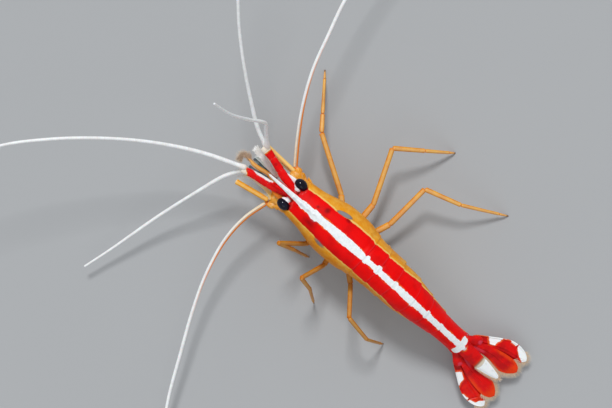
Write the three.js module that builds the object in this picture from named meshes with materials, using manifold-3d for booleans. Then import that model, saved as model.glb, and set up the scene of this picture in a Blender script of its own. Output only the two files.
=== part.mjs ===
// Pacific cleaner shrimp, Lysmata amboinensis, life size, in millimetres.
// The head points along -Y, the animal's left side is +X, and +Z is up.
// It stands on the tips of its six walking legs, which are cut flat at z = 0.

import * as THREE from 'three';
import { mergeVertices } from 'three/addons/utils/BufferGeometryUtils.js';
import Module from 'manifold-3d';

const wasm = await Module();
wasm.setup();

// ---------------------------------------------------------------- sizes

const GAP = 0.3;               // clearance left between neighbouring pieces
const PLATE = 0.5;             // thickness of fins and scales
const FEELER_BASE = 0.31;      // radius of a feeler where it leaves its peduncle
const FEELER_TIP = 0.25;       // radius of a feeler at its far end

const ORBIT_Y = 0;             // the notch of the eye, where the carapace starts
const CARAPACE_END = 15.6;     // rear edge of the carapace
const SOMITE_ENDS = [19.0, 22.8, 27.6, 31.3, 35.2, 41.8];
const TELSON_TIP_Y = 51.3;
const BEND_END = 45.5;         // behind this the tail fan runs straight
const FAN_MIDDLE_X = 0.3;      // the tail fan's middle, in the body's curve
const ROSTRUM_LENGTH = 6.8;

// Back line, half width and depth of the body, each as [y, size] along the animal.
const BACK = [[0, 13.6], [4, 14.25], [8, 14.65], [15.6, 15.05], [19, 15.2], [22.8, 15.1],
  [27.6, 14.2], [31.3, 12.9], [35.2, 11.1], [41.8, 7.8]];
const HALF_WIDTH = [[0, 3.7], [3, 4.05], [6.7, 4.9], [8.5, 5.15], [11, 5.2], [13.5, 5.05],
  [15.6, 4.6], [19, 4.15], [24.7, 3.97], [27.6, 3.8], [31.3, 3.2], [35.2, 2.55], [38.5, 2.2],
  [41.8, 2.15]];
const DEPTH = [[0, 5.6], [3, 6.9], [6.7, 8.5], [11, 9.8], [15.6, 9.9], [19, 9.4],
  [22.8, 9.5], [27.6, 8.8], [31.3, 7.2], [35.2, 5.5], [41.8, 3.6]];

const ARCH_ANGLE = THREE.MathUtils.degToRad(118);  // how far the side wraps under
const ARCH_STEPS = 12;
const WIDEST = 0.52;           // share of the depth at which the body is widest
const BELLY_RISE = 0.09;       // the belly is this share of the depth above the edges

const EYE = new THREE.Vector3(2.4, -1.03, 12.3);
const EYE_HALF = new THREE.Vector3(0.98, 1.3, 1.12);
const RIGHT_EYE_INWARDS = 0.08;

// ---------------------------------------------------------------- materials

const finish = (color, roughness, metalness = 0) =>
  new THREE.MeshStandardMaterial({ color, roughness, metalness });

const shellRed = finish(0xc81410, 0.35);
const shellAmber = finish(0xd9842c, 0.4);
const feelerWhite = finish(0xf3efe6, 0.45);
const legAmber = finish(0xd8a04a, 0.4);
const stalkPink = finish(0xd98a80, 0.45);
const eyeDark = finish(0x15161c, 0.15);
const finWhite = finish(0xf1e9df, 0.45);

const shrimp = new THREE.Group();

function addMesh(name, geometry, material) {
  const mesh = new THREE.Mesh(geometry, material);
  mesh.name = name;
  shrimp.add(mesh);
  return mesh;
}

// ---------------------------------------------------------------- solids

// Smooth value at y through a list of [y, value] pairs.
function along(pairs, y) {
  const last = pairs.length - 1;
  let k = 0;
  while (k < last - 1 && y > pairs[k + 1][0]) {
    k += 1;
  }
  const [y0, v0] = pairs[k];
  const [y1, v1] = pairs[k + 1];
  const before = pairs[Math.max(k - 1, 0)];
  const after = pairs[Math.min(k + 2, last)];
  const m0 = (v1 - before[1]) / (y1 - before[0]) * (y1 - y0);
  const m1 = (after[1] - v0) / (after[0] - y0) * (y1 - y0);
  const s = (y - y0) / (y1 - y0);
  const s2 = s * s;
  const s3 = s2 * s;
  return (2 * s3 - 3 * s2 + 1) * v0 + (s3 - 2 * s2 + s) * m0 + (3 * s2 - 2 * s3) * v1 + (s3 - s2) * m1;
}

// The animal lies in a very slight sideways curve.
function sideBend(y) {
  const tailward = THREE.MathUtils.clamp(y, 0, BEND_END);
  return 0.21 - 0.0415 * tailward + 0.00098 * tailward * tailward;
}

// A closed solid from rings of equal point count, with a fan over each end.
function closedLoft(rings) {
  const count = rings[0].length;
  const positions = [];
  const faces = [];
  rings.forEach((ring) => ring.forEach((p) => positions.push(p.x, p.y, p.z)));
  for (let r = 0; r + 1 < rings.length; r += 1) {
    for (let i = 0; i < count; i += 1) {
      const a = r * count + i;
      const b = r * count + ((i + 1) % count);
      faces.push(a, b, b + count, a, b + count, a + count);
    }
  }
  const capEnd = (ring, start, flipped) => {
    const middle = new THREE.Vector3();
    ring.forEach((p) => middle.add(p));
    middle.divideScalar(count);
    const hub = positions.length / 3;
    positions.push(middle.x, middle.y, middle.z);
    for (let i = 0; i < count; i += 1) {
      const a = start + i;
      const b = start + ((i + 1) % count);
      faces.push(hub, flipped ? b : a, flipped ? a : b);
    }
  };
  capEnd(rings[0], 0, true);
  capEnd(rings[rings.length - 1], (rings.length - 1) * count, false);
  const geometry = new THREE.BufferGeometry();
  geometry.setAttribute('position', new THREE.Float32BufferAttribute(positions, 3));
  geometry.setIndex(signedVolume(positions, faces) < 0 ? turnedOver(faces) : faces);
  geometry.computeVertexNormals();
  return geometry;
}

function signedVolume(positions, faces) {
  const corner = (i) => new THREE.Vector3().fromArray(positions, faces[i] * 3);
  let six = 0;
  for (let f = 0; f < faces.length; f += 3) {
    six += corner(f).dot(corner(f + 1).cross(corner(f + 2)));
  }
  return six / 6;
}

function turnedOver(faces) {
  const out = [];
  for (let f = 0; f < faces.length; f += 3) {
    out.push(faces[f], faces[f + 2], faces[f + 1]);
  }
  return out;
}

function toSolid(geometry) {
  const bare = geometry.clone();
  bare.deleteAttribute('normal');
  bare.deleteAttribute('uv');
  const merged = mergeVertices(bare, 1e-5);
  const vertProperties = new Float32Array(merged.attributes.position.array);
  const triVerts = new Uint32Array(merged.index.array);
  return new wasm.Manifold(new wasm.Mesh({ numProp: 3, vertProperties, triVerts }));
}

function toGeometry(solid) {
  const mesh = solid.getMesh();
  const geometry = new THREE.BufferGeometry();
  geometry.setAttribute('position', new THREE.Float32BufferAttribute(mesh.vertProperties, 3));
  geometry.setIndex(Array.from(mesh.triVerts));
  geometry.computeVertexNormals();
  return geometry;
}

// The first geometry with every cutter taken out of it.
function carve(geometry, cutters) {
  let solid = toSolid(geometry);
  cutters.forEach((cutter) => {
    solid = solid.subtract(toSolid(cutter));
  });
  return toGeometry(solid);
}

function joined(geometries) {
  const solids = geometries.map(toSolid);
  return toGeometry(solids.reduce((whole, piece) => whole.add(piece)));
}

function ballAt(centre, radius, around = 8, rings = 5) {
  return new THREE.SphereGeometry(radius, around, rings).translate(centre.x, centre.y, centre.z);
}

function ovalAt(centre, half, around = 14, rings = 9) {
  const ball = new THREE.SphereGeometry(1, around, rings);
  return ball.scale(half.x, half.y, half.z).translate(centre.x, centre.y, centre.z);
}

// ---------------------------------------------------------------- body sections

// One cross section of the body at y, square to the back line, grown outwards by grow.
function bodyRing(y, grow = 0) {
  const step = 0.4;
  const slope = Math.atan2(along(BACK, y + step) - along(BACK, y - step), 2 * step);
  const half = along(HALF_WIDTH, y) + grow;
  const depth = along(DEPTH, y) + 2 * grow;
  const upper = WIDEST * depth;
  const lower = (depth - upper) / -Math.cos(ARCH_ANGLE);
  const outline = [];
  for (let i = 0; i <= ARCH_STEPS; i += 1) {
    const angle = THREE.MathUtils.lerp(-ARCH_ANGLE, ARCH_ANGLE, i / ARCH_STEPS);
    const down = Math.abs(angle) <= Math.PI / 2
      ? upper * (1 - Math.cos(angle))
      : upper - lower * Math.cos(angle);
    outline.push([half * Math.sin(angle), grow - down]);
  }
  const belly = grow - depth * (1 - BELLY_RISE);
  outline.push([0.45 * half, belly], [-0.45 * half, belly]);
  return outline.map(([x, up]) => new THREE.Vector3(
    sideBend(y) + x,
    y - up * Math.sin(slope),
    along(BACK, y) + up * Math.cos(slope),
  ));
}

function bodyLength(from, to, steps, grow = 0) {
  const rings = [];
  for (let i = 0; i <= steps; i += 1) {
    rings.push(bodyRing(THREE.MathUtils.lerp(from, to, i / steps), grow));
  }
  return closedLoft(rings);
}

const bodyWithClearance = bodyLength(ORBIT_Y - GAP, SOMITE_ENDS[5] + GAP, 14, GAP);

// The eyes are oval, longest from front to rear.
function eyeShape(side, grow) {
  const inwards = side < 0 ? RIGHT_EYE_INWARDS : 0;
  const middle = new THREE.Vector3(side * (EYE.x - inwards) + sideBend(0), EYE.y, EYE.z);
  const half = EYE_HALF.clone().addScalar(grow);
  return ovalAt(middle, half);
}

const eyeSockets = [1, -1].map((side) => eyeShape(side, GAP));

// ---------------------------------------------------------------- tubes

const vec = (x, y, z) => new THREE.Vector3(x, y, z);
const between = (from, to) => new THREE.Vector3().subVectors(to, from).normalize();

// A ring of points round a centre, square to a direction, with "over" as its upper side.
function crossRing(centre, direction, over, wide, tall, sides) {
  const across = new THREE.Vector3().crossVectors(direction, over).normalize();
  const upper = new THREE.Vector3().crossVectors(across, direction).normalize();
  const ring = [];
  for (let i = 0; i < sides; i += 1) {
    const angle = 2 * Math.PI * (i + 0.5) / sides;
    ring.push(centre.clone()
      .addScaledVector(across, wide * Math.cos(angle))
      .addScaledVector(upper, tall * Math.sin(angle)));
  }
  return ring;
}

const levelRing = (centre, direction, wide, tall, sides) =>
  crossRing(centre, direction, vec(0, 0, 1), wide, tall, sides);

// A round tube through points: each ring keeps the last one's upper side, so it doesn't twist.
function tubeThrough(points, directions, radii, sides) {
  let over = Math.abs(directions[0].z) < 0.9 ? vec(0, 0, 1) : vec(0, 1, 0);
  const rings = points.map((point, i) => {
    const direction = directions[i];
    over = over.clone().addScaledVector(direction, -over.dot(direction)).normalize();
    return crossRing(point, direction, over, radii[i], radii[i], sides);
  });
  return closedLoft(rings);
}

// A jointed tube whose rings halve the angle at each joint.
function jointedTube(joints, radii, sides = 6) {
  const last = joints.length - 1;
  const directions = joints.map((joint, i) => {
    const arriving = between(joints[Math.max(i - 1, 0)], joints[Math.max(i, 1)]);
    const leaving = between(joints[Math.min(i, last - 1)], joints[Math.min(i + 1, last)]);
    return arriving.add(leaving).normalize();
  });
  return tubeThrough(joints, directions, radii, sides);
}

// A limb with one sharp fold: two jointed lengths that meet in a ball.
function foldedLimb(joints, radii, fold) {
  return joined([
    jointedTube(joints.slice(0, fold + 1), radii.slice(0, fold + 1)),
    ballAt(joints[fold], radii[fold] * 1.16, 7, 4),
    jointedTube(joints.slice(fold), radii.slice(fold)),
  ]);
}

// A smooth tube that tapers along part of a curve.
function curveTube(curve, from, to, radiusFrom, radiusTo, steps, sides = 6) {
  const shares = Array.from({ length: steps + 1 }, (_, i) => i / steps);
  const places = shares.map((share) => THREE.MathUtils.lerp(from, to, share));
  return tubeThrough(
    places.map((u) => curve.getPointAt(u)),
    places.map((u) => curve.getTangentAt(u)),
    shares.map((share) => THREE.MathUtils.lerp(radiusFrom, radiusTo, share)),
    sides,
  );
}

// ---------------------------------------------------------------- carapace and head

function addCarapace() {
  const shell = bodyLength(ORBIT_Y + GAP / 2, CARAPACE_END - GAP / 2, 9);
  addMesh('carapace', carve(shell, eyeSockets), shellRed);
}

// The rostrum is a thin keel that rises a little towards its tip.
function addRostrum() {
  const rings = [];
  const steps = 4;
  for (let i = 0; i <= steps; i += 1) {
    const share = i / steps;
    const y = -GAP / 2 - share * (ROSTRUM_LENGTH - GAP / 2);
    const wide = THREE.MathUtils.lerp(0.5, 0.25, share);
    const tall = THREE.MathUtils.lerp(0.36, 0.25, share);
    const top = 13.55 + 0.75 * share;
    rings.push(levelRing(vec(sideBend(0), y, top - tall), vec(0, -1, 0), wide, tall, 8));
  }
  addMesh('rostrum', closedLoft(rings), shellRed);
}

// The head in front of the carapace: it carries eyes, antennules, antennae and mouthparts.
function headShape(grow) {
  const stations = [
    { y: -GAP / 2 + grow, half: 2.8, top: 12.0, bottom: 7.8 },
    { y: -1.1, half: 2.3, top: 11.1, bottom: 8.1 },
    { y: -1.8 - grow, half: 1.5, top: 10.6, bottom: 8.6 },
  ];
  return closedLoft(stations.map(({ y, half, top, bottom }) => levelRing(
    vec(sideBend(0), y, (top + bottom) / 2),
    vec(0, -1, 0),
    half + grow,
    (top - bottom) / 2 + grow,
    12,
  )));
}

const stalkShape = (side, grow) => jointedTube(
  [vec(side * 0.35 + sideBend(0), -0.75, 12.1), vec(side * 2.0 + sideBend(0), -0.98, 12.2)],
  [0.45 + grow, 0.8 + grow],
  8,
);

function addHeadAndEyes() {
  const stalkRoom = [1, -1].map((side) => stalkShape(side, GAP));
  addMesh('head', carve(headShape(0), [...eyeSockets, ...stalkRoom]), shellAmber);
  [['L', 1], ['R', -1]].forEach(([label, side], i) => {
    const stalk = carve(stalkShape(side, 0), [eyeSockets[i], bodyWithClearance]);
    addMesh(`eyestalk_${label}`, stalk, stalkPink);
    addMesh(`eye_${label}`, eyeShape(side, 0), eyeDark);
  });
}

// ---------------------------------------------------------------- abdomen and tail

function addAbdomen() {
  let start = CARAPACE_END;
  SOMITE_ENDS.forEach((end, i) => {
    const steps = i === 5 ? 4 : 3;
    const ring = bodyLength(start + GAP / 2, end - GAP / 2, steps);
    addMesh(`abdomen_${i + 1}`, ring, shellRed);
    start = end;
  });
}

// The telson is a long narrow wedge that tapers to a blunt tip.
function addTelson() {
  const rootY = SOMITE_ENDS[5] + GAP / 2;
  const rings = [];
  const steps = 5;
  for (let i = 0; i <= steps; i += 1) {
    const share = i / steps;
    const half = 1.45 - 0.15 * share - share ** 3;
    const tall = THREE.MathUtils.lerp(0.75, 0.25, Math.min(1, share * 1.5));
    const y = THREE.MathUtils.lerp(rootY, TELSON_TIP_Y, share);
    const top = THREE.MathUtils.lerp(7.6, 4.2, share);
    rings.push(levelRing(vec(sideBend(y), y, top - tall), vec(0, 1, -0.36).normalize(), half, tall, 10));
  }
  addMesh('telson', closedLoft(rings), shellRed);
}

// A fin blade: its outline lies in its own plane, x outwards and y towards the rear.
function blade(outline, hinge, side, pitch) {
  const shape = new THREE.Shape();
  shape.moveTo(...outline[0]);
  shape.splineThru(outline.slice(1).map(([x, y]) => new THREE.Vector2(x, y)));
  shape.closePath();
  const flat = new THREE.ExtrudeGeometry(shape, { depth: PLATE, bevelEnabled: false, curveSegments: 2 });
  flat.rotateX(THREE.MathUtils.degToRad(pitch));
  flat.translate(hinge.x, hinge.y, hinge.z);
  if (side > 0) {
    return flat.translate(FAN_MIDDLE_X, 0, 0);
  }
  const mirrored = flat.scale(-1, 1, 1).translate(FAN_MIDDLE_X, 0, 0);
  const solid = mergeVertices(mirrored.deleteAttribute('normal').deleteAttribute('uv'), 1e-5);
  solid.setIndex(turnedOver(Array.from(solid.index.array)));
  return solid;
}

const EXOPOD = [[1.1, 1.7], [2.3, 1.5], [3.1, 2.0], [3.85, 3.0], [4.6, 4.2], [5.5, 5.6], [6.8, 8.0],
  [7.1, 9.6], [7.05, 11.2], [6.3, 12.8], [5.6, 13.1], [4.3, 11.9], [3.3, 10.0], [2.4, 7.0], [1.5, 3.8]];
const ENDOPOD = [[0.9, 2.0], [1.9, 2.0], [2.5, 2.3], [3.2, 3.8], [4.05, 6.8], [4.4, 9.3], [4.3, 10.5],
  [3.85, 11.6], [3.05, 12.0], [2.35, 11.6], [1.55, 10.5], [1.05, 9.0], [1.15, 7.4], [1.3, 5.0],
  [1.0, 2.6]];

// The stout base that carries both blades of one side.
const PROTOPOD = [[1.0, 41.4, 5.2], [1.9, 42.6, 5.1], [2.75, 43.6, 4.85], [3.2, 44.3, 4.6]];

function protopodShape(side, grow) {
  const joints = PROTOPOD.map(([x, y, z]) => vec(FAN_MIDDLE_X + side * x, y, z));
  return jointedTube(joints, [0.6, 0.72, 0.7, 0.45].map((radius) => radius + grow), 8);
}

function addTailFan() {
  [['L', 1], ['R', -1]].forEach(([label, side]) => {
    const endopod = blade(ENDOPOD, vec(0, 41.7, 5.15), side, -14.5);
    const exopod = joined([blade(EXOPOD, vec(0, 40.5, 4.3), side, -11.5), protopodShape(side, 0)]);
    const beside = protopodShape(side, GAP);
    addMesh(`uropod_endopod_${label}`, carve(endopod, [bodyWithClearance, beside]), shellRed);
    addMesh(`uropod_exopod_${label}`, carve(exopod, [bodyWithClearance]), finWhite);
  });
}

// ---------------------------------------------------------------- feelers

// Each antennular peduncle bends outwards a little at its joints.
const PEDUNCLE_JOINTS = {
  L: [vec(1.5, -4.05, 11.2), vec(2.2, -7.6, 11.24), vec(2.72, -10.0, 11.25)],
  R: [vec(-1.02, -4.05, 11.2), vec(-2.0, -7.6, 11.24), vec(-2.5, -9.75, 11.25)],
};
const PEDUNCLE_RADII = [0.6, 0.74, 0.7, 0.66];
const ANTENNA_BASE = { L: vec(4.45, -3.0, 8.75), R: vec(-3.2, -3.2, 8.75) };

function addPeduncles() {
  const inTheWay = [...eyeSockets, headShape(GAP), stalkShape(1, GAP), stalkShape(-1, GAP)];
  [['L', 1], ['R', -1]].forEach(([label, side]) => {
    const root = vec(side * 0.85 + sideBend(0), -1.5, 11.35);
    const segments = jointedTube([root, ...PEDUNCLE_JOINTS[label]], PEDUNCLE_RADII, 8);
    addMesh(`antennule_peduncle_${label}`, carve(segments, inTheWay), shellRed);

    const base = ANTENNA_BASE[label];
    const shoulder = vec(side * 2.0 + sideBend(0), -1.5, 9.0);
    const stem = jointedTube([shoulder, shoulder.clone().lerp(base, 0.55), base], [0.62, 0.6, 0.48], 8);
    const lobe = ovalAt(vec(side * 2.75 + sideBend(0), -2.0, 8.75), vec(1.2, 1.4, 0.55), 12, 7);
    const whole = joined([stem, lobe]);
    addMesh(`antenna_peduncle_${label}`, carve(whole, [headShape(GAP), bodyWithClearance]), shellAmber);
  });
}

// The antennal scale: a stiff outer rod with a thin blade on its inner side.
const SCALE_OUTLINE = [[0, 0], [0.1, 2.4], [0.2, 5.0], [0.25, 7.0], [-0.35, 7.3], [-1.1, 6.4],
  [-1.6, 4.4], [-1.7, 2.2], [-1.1, 0.3]];

function addAntennalScales() {
  const turn = { L: 12, R: -2 };
  const hinge = { L: vec(4.1, -2.8, 9.6), R: vec(-2.95, -2.8, 9.6) };
  [['L', 1], ['R', -1]].forEach(([label, side]) => {
    const shape = new THREE.Shape();
    shape.moveTo(0, 0);
    shape.splineThru(SCALE_OUTLINE.slice(1).map(([x, y]) => new THREE.Vector2(side * x, -y)));
    shape.closePath();
    const flat = new THREE.ExtrudeGeometry(shape, { depth: PLATE, bevelEnabled: false, curveSegments: 2 });
    flat.rotateZ(THREE.MathUtils.degToRad(turn[label]));
    flat.translate(hinge[label].x, hinge[label].y, hinge[label].z);
    addMesh(`antennal_scale_${label}`, carve(flat, [headShape(GAP)]), legAmber);
  });
}

// Feelers sweep forwards and outwards: each is a hand-chosen route from its peduncle.
const FEELER_ROUTES = {
  antennule_upper_L: [vec(2.5, -10.6, 11.65), vec(5.7, -18.3, 13), vec(10.2, -26.1, 15),
    vec(15.4, -33, 17), vec(21.2, -39.2, 18.5), vec(27.8, -44.8, 19.5), vec(36, -49, 19),
    vec(44.5, -51.5, 16.5)],
  antennule_lower_L: [vec(2.85, -10.5, 10.95), vec(6.5, -12.2, 9.6), vec(11.3, -13.6, 8),
    vec(20, -15.8, 5.5), vec(31.3, -18.2, 3.5), vec(37, -19.6, 3)],
  antennule_lower_R: [vec(-2.75, -10.3, 10.95), vec(-4.3, -13.5, 13), vec(-7.4, -18.0, 16),
    vec(-11.8, -23.7, 20), vec(-15.9, -28.3, 23), vec(-18.9, -31.2, 25), vec(-24, -36.5, 28),
    vec(-31, -41.5, 30), vec(-39, -44.5, 30)],
  antennule_upper_R: [vec(-3.0, -10.25, 11.7), vec(-5.0, -12.2, 14.5), vec(-6.3, -13.5, 18.5),
    vec(-5.2, -16.0, 23.5), vec(-4.2, -19.0, 30), vec(-4.0, -22.5, 36)],
  antenna_L: [vec(4.95, -3.35, 8.75), vec(9.5, -4.2, 9), vec(15, -4.1, 8.5), vec(22.2, -2.3, 7.5),
    vec(28.8, 0.4, 6.5), vec(36.8, 4.4, 5.5), vec(45.7, 9.1, 4.5), vec(53, 14.5, 4.2), vec(58.5, 22, 4.4)],
  antenna_R: [vec(-3.65, -3.85, 8.85), vec(-7.5, -6.8, 10), vec(-12.8, -10.4, 11.5),
    vec(-18.6, -13.4, 12.5), vec(-25, -15.6, 13), vec(-31.5, -17.6, 13), vec(-40, -19, 12),
    vec(-49, -18.5, 10), vec(-57, -16, 7.5)],
};

function addFeelers() {
  Object.entries(FEELER_ROUTES).forEach(([name, route]) => {
    const curve = new THREE.CatmullRomCurve3(route);
    const half = (GAP / 2) / curve.getLength();
    const middle = THREE.MathUtils.lerp(FEELER_BASE, FEELER_TIP, 0.5);
    addMesh(`${name}_base`, curveTube(curve, 0, 0.5 - half, FEELER_BASE, middle, 12), feelerWhite);
    addMesh(`${name}_tip`, curveTube(curve, 0.5 + half, 1, middle, FEELER_TIP, 10), feelerWhite);
  });
}

// ---------------------------------------------------------------- legs and mouthparts

// Joints of the six walking legs: hip, end of the short base, knee, wrist and foot.
const WALKING_LEGS = {
  leg_3_L: [
    vec(2.3, 8.6, 5.2), vec(5.5, 8.0, 4.8), vec(8.3, 2.9, 13.5),
    vec(7.8, 6.3, 8.6), vec(7.8, 10.2, 0),
  ],
  leg_4_L: [
    vec(2.5, 11.4, 5.0), vec(5.9, 12.9, 4.8), vec(10.1, 10.2, 14),
    vec(11.1, 13.3, 9.0), vec(13.6, 16.8, 0),
  ],
  leg_5_L: [
    vec(2.6, 14.4, 4.9), vec(5.2, 18.2, 4.6), vec(9.8, 21.7, 12.5),
    vec(11.0, 27.4, 8.5), vec(10.5, 31.7, 0),
  ],
  leg_3_R: [
    vec(-2.3, 8.6, 5.2), vec(-4.4, 7.6, 4.6), vec(-11.2, -4.3, 6.5),
    vec(-13.8, -6.4, 5.1), vec(-19.9, -11.3, 0),
  ],
  leg_4_R: [
    vec(-2.5, 11.4, 5.0), vec(-6.5, 12.4, 4.6), vec(-17.9, 7.0, 7.5),
    vec(-21.5, 12.0, 4.6), vec(-25, 17, 0),
  ],
  leg_5_R: [
    vec(-2.6, 14.4, 4.9), vec(-6.0, 16.5, 4.6), vec(-16.4, 16.5, 7),
    vec(-18.7, 23.65, 5.2), vec(-23.1, 32.4, 0),
  ],
};
const ANKLE_SHARE = 0.8;       // the claw starts here on the way from wrist to foot
const LEG_BOW = 0.25;          // how far the shank bows upwards
const LEG_RADII = [0.62, 0.54, 0.48, 0.4, 0.3, 0.27];
const FOOT_DROP = 0.25;        // the claw runs this far past the floor before it is cut flat

function addWalkingLegs() {
  const floor = new THREE.BoxGeometry(200, 200, 10).translate(0, 0, -5);
  Object.entries(WALKING_LEGS).forEach(([name, [hip, thigh, knee, wrist, foot]]) => {
    const ankle = wrist.clone().lerp(foot, ANKLE_SHARE).add(vec(0, 0, LEG_BOW));
    const end = foot.clone().addScaledVector(between(ankle, foot), FOOT_DROP);
    const leg = foldedLimb([hip, thigh, knee, wrist, ankle, end], LEG_RADII, 2);
    addMesh(name, carve(leg, [bodyWithClearance, floor]), legAmber);
  });
}

// The two front pairs of legs end in small pincers and are folded under the head.
function addFoldedLegs() {
  [['L', 1], ['R', -1]].forEach(([label, side]) => {
    const first = [vec(side * 1.7, 5.2, 5.9), vec(side * 2.9, -2.0, 4.9), vec(side * 2.3, -5.0, 5.6),
      vec(side * 1.9, -7.0, 6.0), vec(side * 1.7, -8.6, 6.2)];
    const second = [vec(side * 2.0, 6.9, 5.5), vec(side * 2.7, 0.4, 3.9), vec(side * 2.9, 8.4, 2.2),
      vec(side * 2.4, 6.8, 1.9), vec(side * 2.0, 5.2, 1.6)];
    const nearLeg = jointedTube(first, [0.5, 0.4, 0.36, 0.46, 0.25]);
    const longLeg = foldedLimb(second, [0.45, 0.32, 0.27, 0.34, 0.25], 1);
    addMesh(`leg_1_${label}`, carve(nearLeg, [bodyWithClearance]), legAmber);
    addMesh(`leg_2_${label}`, carve(longLeg, [bodyWithClearance]), legAmber);
  });
}

// The third maxillipeds reach forwards between the antennular peduncles.
function addMaxillipeds() {
  const tips = { L: vec(1.7, -12.3, 8.0), R: vec(-1.1, -11.8, 8.1) };
  [['L', 1], ['R', -1]].forEach(([label, side]) => {
    const elbow = vec(side * 1.5, -2.0, 6.9);
    const joints = [vec(side * 1.2, 3.2, 6.9), elbow, vec(side * 0.7, -7.0, 7.7), tips[label]];
    const arm = jointedTube(joints, [0.45, 0.42, 0.38, 0.28]);
    addMesh(`maxilliped_${label}`, carve(arm, [bodyWithClearance, headShape(GAP)]), finWhite);
  });
}

// Swimmerets: one pair of paddles under each of the first five abdominal rings.
function addSwimmerets() {
  const sizes = [4.9, 5.5, 5.3, 4.6, 3.8];
  let start = CARAPACE_END;
  sizes.forEach((size, i) => {
    const y = (start + SOMITE_ENDS[i]) / 2;
    const belly = bodyRing(y)[ARCH_STEPS + 1];
    [['L', 1], ['R', -1]].forEach(([label, side]) => {
      const root = vec(sideBend(y) + side * 1.15, belly.y, belly.z - 0.1);
      const direction = vec(side * 0.12, 0.72, -0.68).normalize();
      const wide = [0.45, 0.75, 0.9, 0.4];
      const rings = wide.map((half, k) => levelRing(
        root.clone().addScaledVector(direction, size * k / (wide.length - 1)),
        direction,
        half,
        0.28,
        6,
      ));
      addMesh(`swimmeret_${i + 1}_${label}`, carve(closedLoft(rings), [bodyWithClearance]), shellAmber);
    });
    start = SOMITE_ENDS[i];
  });
}

addCarapace();
addRostrum();
addHeadAndEyes();
addAbdomen();
addTelson();
addTailFan();
addPeduncles();
addAntennalScales();
addFeelers();
addWalkingLegs();
addFoldedLegs();
addMaxillipeds();
addSwimmerets();

// The origin is the middle of the bottom of the whole model's box.
const box = new THREE.Box3().setFromObject(shrimp);
shrimp.position.set(-(box.min.x + box.max.x) / 2, -(box.min.y + box.max.y) / 2, -box.min.z);

export default shrimp;
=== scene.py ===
# Pacific cleaner shrimp, Lysmata amboinensis, life size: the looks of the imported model.
#
# The animal is built here in millimetres, head towards -Y, its left side +X, the floor at z = 0,
# with y = 0 at the notch behind its eyes. placed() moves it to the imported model's own frame.

import math

import bmesh
import bpy
import numpy as np
from mathutils import Matrix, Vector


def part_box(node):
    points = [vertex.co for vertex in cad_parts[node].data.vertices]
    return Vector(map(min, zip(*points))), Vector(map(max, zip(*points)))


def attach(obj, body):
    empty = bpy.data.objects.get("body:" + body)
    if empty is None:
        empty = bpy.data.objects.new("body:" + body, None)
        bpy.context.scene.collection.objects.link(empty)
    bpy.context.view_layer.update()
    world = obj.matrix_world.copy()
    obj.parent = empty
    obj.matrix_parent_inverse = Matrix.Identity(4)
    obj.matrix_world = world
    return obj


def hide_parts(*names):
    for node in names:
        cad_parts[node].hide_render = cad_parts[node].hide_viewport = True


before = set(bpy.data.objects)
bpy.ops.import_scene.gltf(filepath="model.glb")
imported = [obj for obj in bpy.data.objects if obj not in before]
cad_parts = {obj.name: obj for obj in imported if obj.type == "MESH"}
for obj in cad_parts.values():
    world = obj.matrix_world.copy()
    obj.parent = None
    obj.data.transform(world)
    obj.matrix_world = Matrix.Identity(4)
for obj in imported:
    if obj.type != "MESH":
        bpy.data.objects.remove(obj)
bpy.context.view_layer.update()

# ------------------------------------------------------------------ sizes, in millimetres

ARCH = math.radians(118)       # how far the shell wraps round each side
WIDEST = 0.52                  # share of the depth at which the body is widest
BELLY_RISE = 0.09              # the belly lies this share of the depth above the shell's edges
SHELL = 0.11                   # thickness of the shell

CARAPACE_END = 15.6
SOMITE_ENDS = [19.0, 22.8, 27.6, 31.3, 35.2, 41.8]
TELSON_TIP = 51.3
BEND_END = 45.5                # behind this the tail fan runs straight
FAN_MIDDLE_X = 0.3
ROSTRUM_TIP = -6.8

BACK = [[0, 13.6], [4, 14.25], [8, 14.65], [15.6, 15.05], [19, 15.2], [22.8, 15.1],
        [27.6, 14.2], [31.3, 12.9], [35.2, 11.1], [41.8, 7.8]]
HALF_WIDTH = [[0, 3.7], [3, 4.05], [6.7, 4.9], [8.5, 5.15], [11, 5.2], [13.5, 5.05], [15.6, 4.6],
              [19, 4.15], [24.7, 3.97], [27.6, 3.8], [31.3, 3.2], [35.2, 2.55], [38.5, 2.2],
              [41.8, 2.15]]
DEPTH = [[0, 5.6], [3, 6.9], [6.7, 8.5], [11, 9.8], [15.6, 9.9], [19, 9.4], [22.8, 9.5],
         [27.6, 8.8], [31.3, 7.2], [35.2, 5.5], [41.8, 3.6]]

# Half the white stripe's width on each side of the midline, and where it swells: at each of
# these places it is wider by so much on the right and on the left, over this half length.
STRIPE_RIGHT = [[-1, 0.42], [0.5, 0.52], [2.8, 0.64], [5.6, 0.67], [8.1, 0.79], [9.9, 0.93],
                [13.4, 0.9], [15.4, 0.76], [15.9, 0.54], [18.2, 0.5], [21.5, 0.57], [26, 0.67],
                [30, 0.53], [34, 0.5], [40, 0.47]]
STRIPE_LEFT = [[-1, 0.42], [0.5, 0.55], [2.8, 0.7], [5.6, 0.67], [8.1, 0.67], [10.8, 0.88],
               [13.4, 0.73], [15.2, 0.57], [18.2, 0.4], [21.5, 0.6], [24.3, 0.56], [26.5, 0.7],
               [30.4, 0.5], [36.4, 0.64], [40, 0.66]]
STRIPE_SWELLS = [(1.4, 0.14, 0.14, 0.45), (4.4, 0.2, 0.24, 0.85), (16.4, 0.36, 0.18, 0.4),
                 (19.15, 0.44, 0.2, 0.55), (23.3, 0.22, 0.06, 0.5), (28.0, 0.05, 0.2, 0.4),
                 (31.6, 0.28, 0.22, 0.4), (35.2, 0.16, 0.08, 0.4)]

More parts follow.
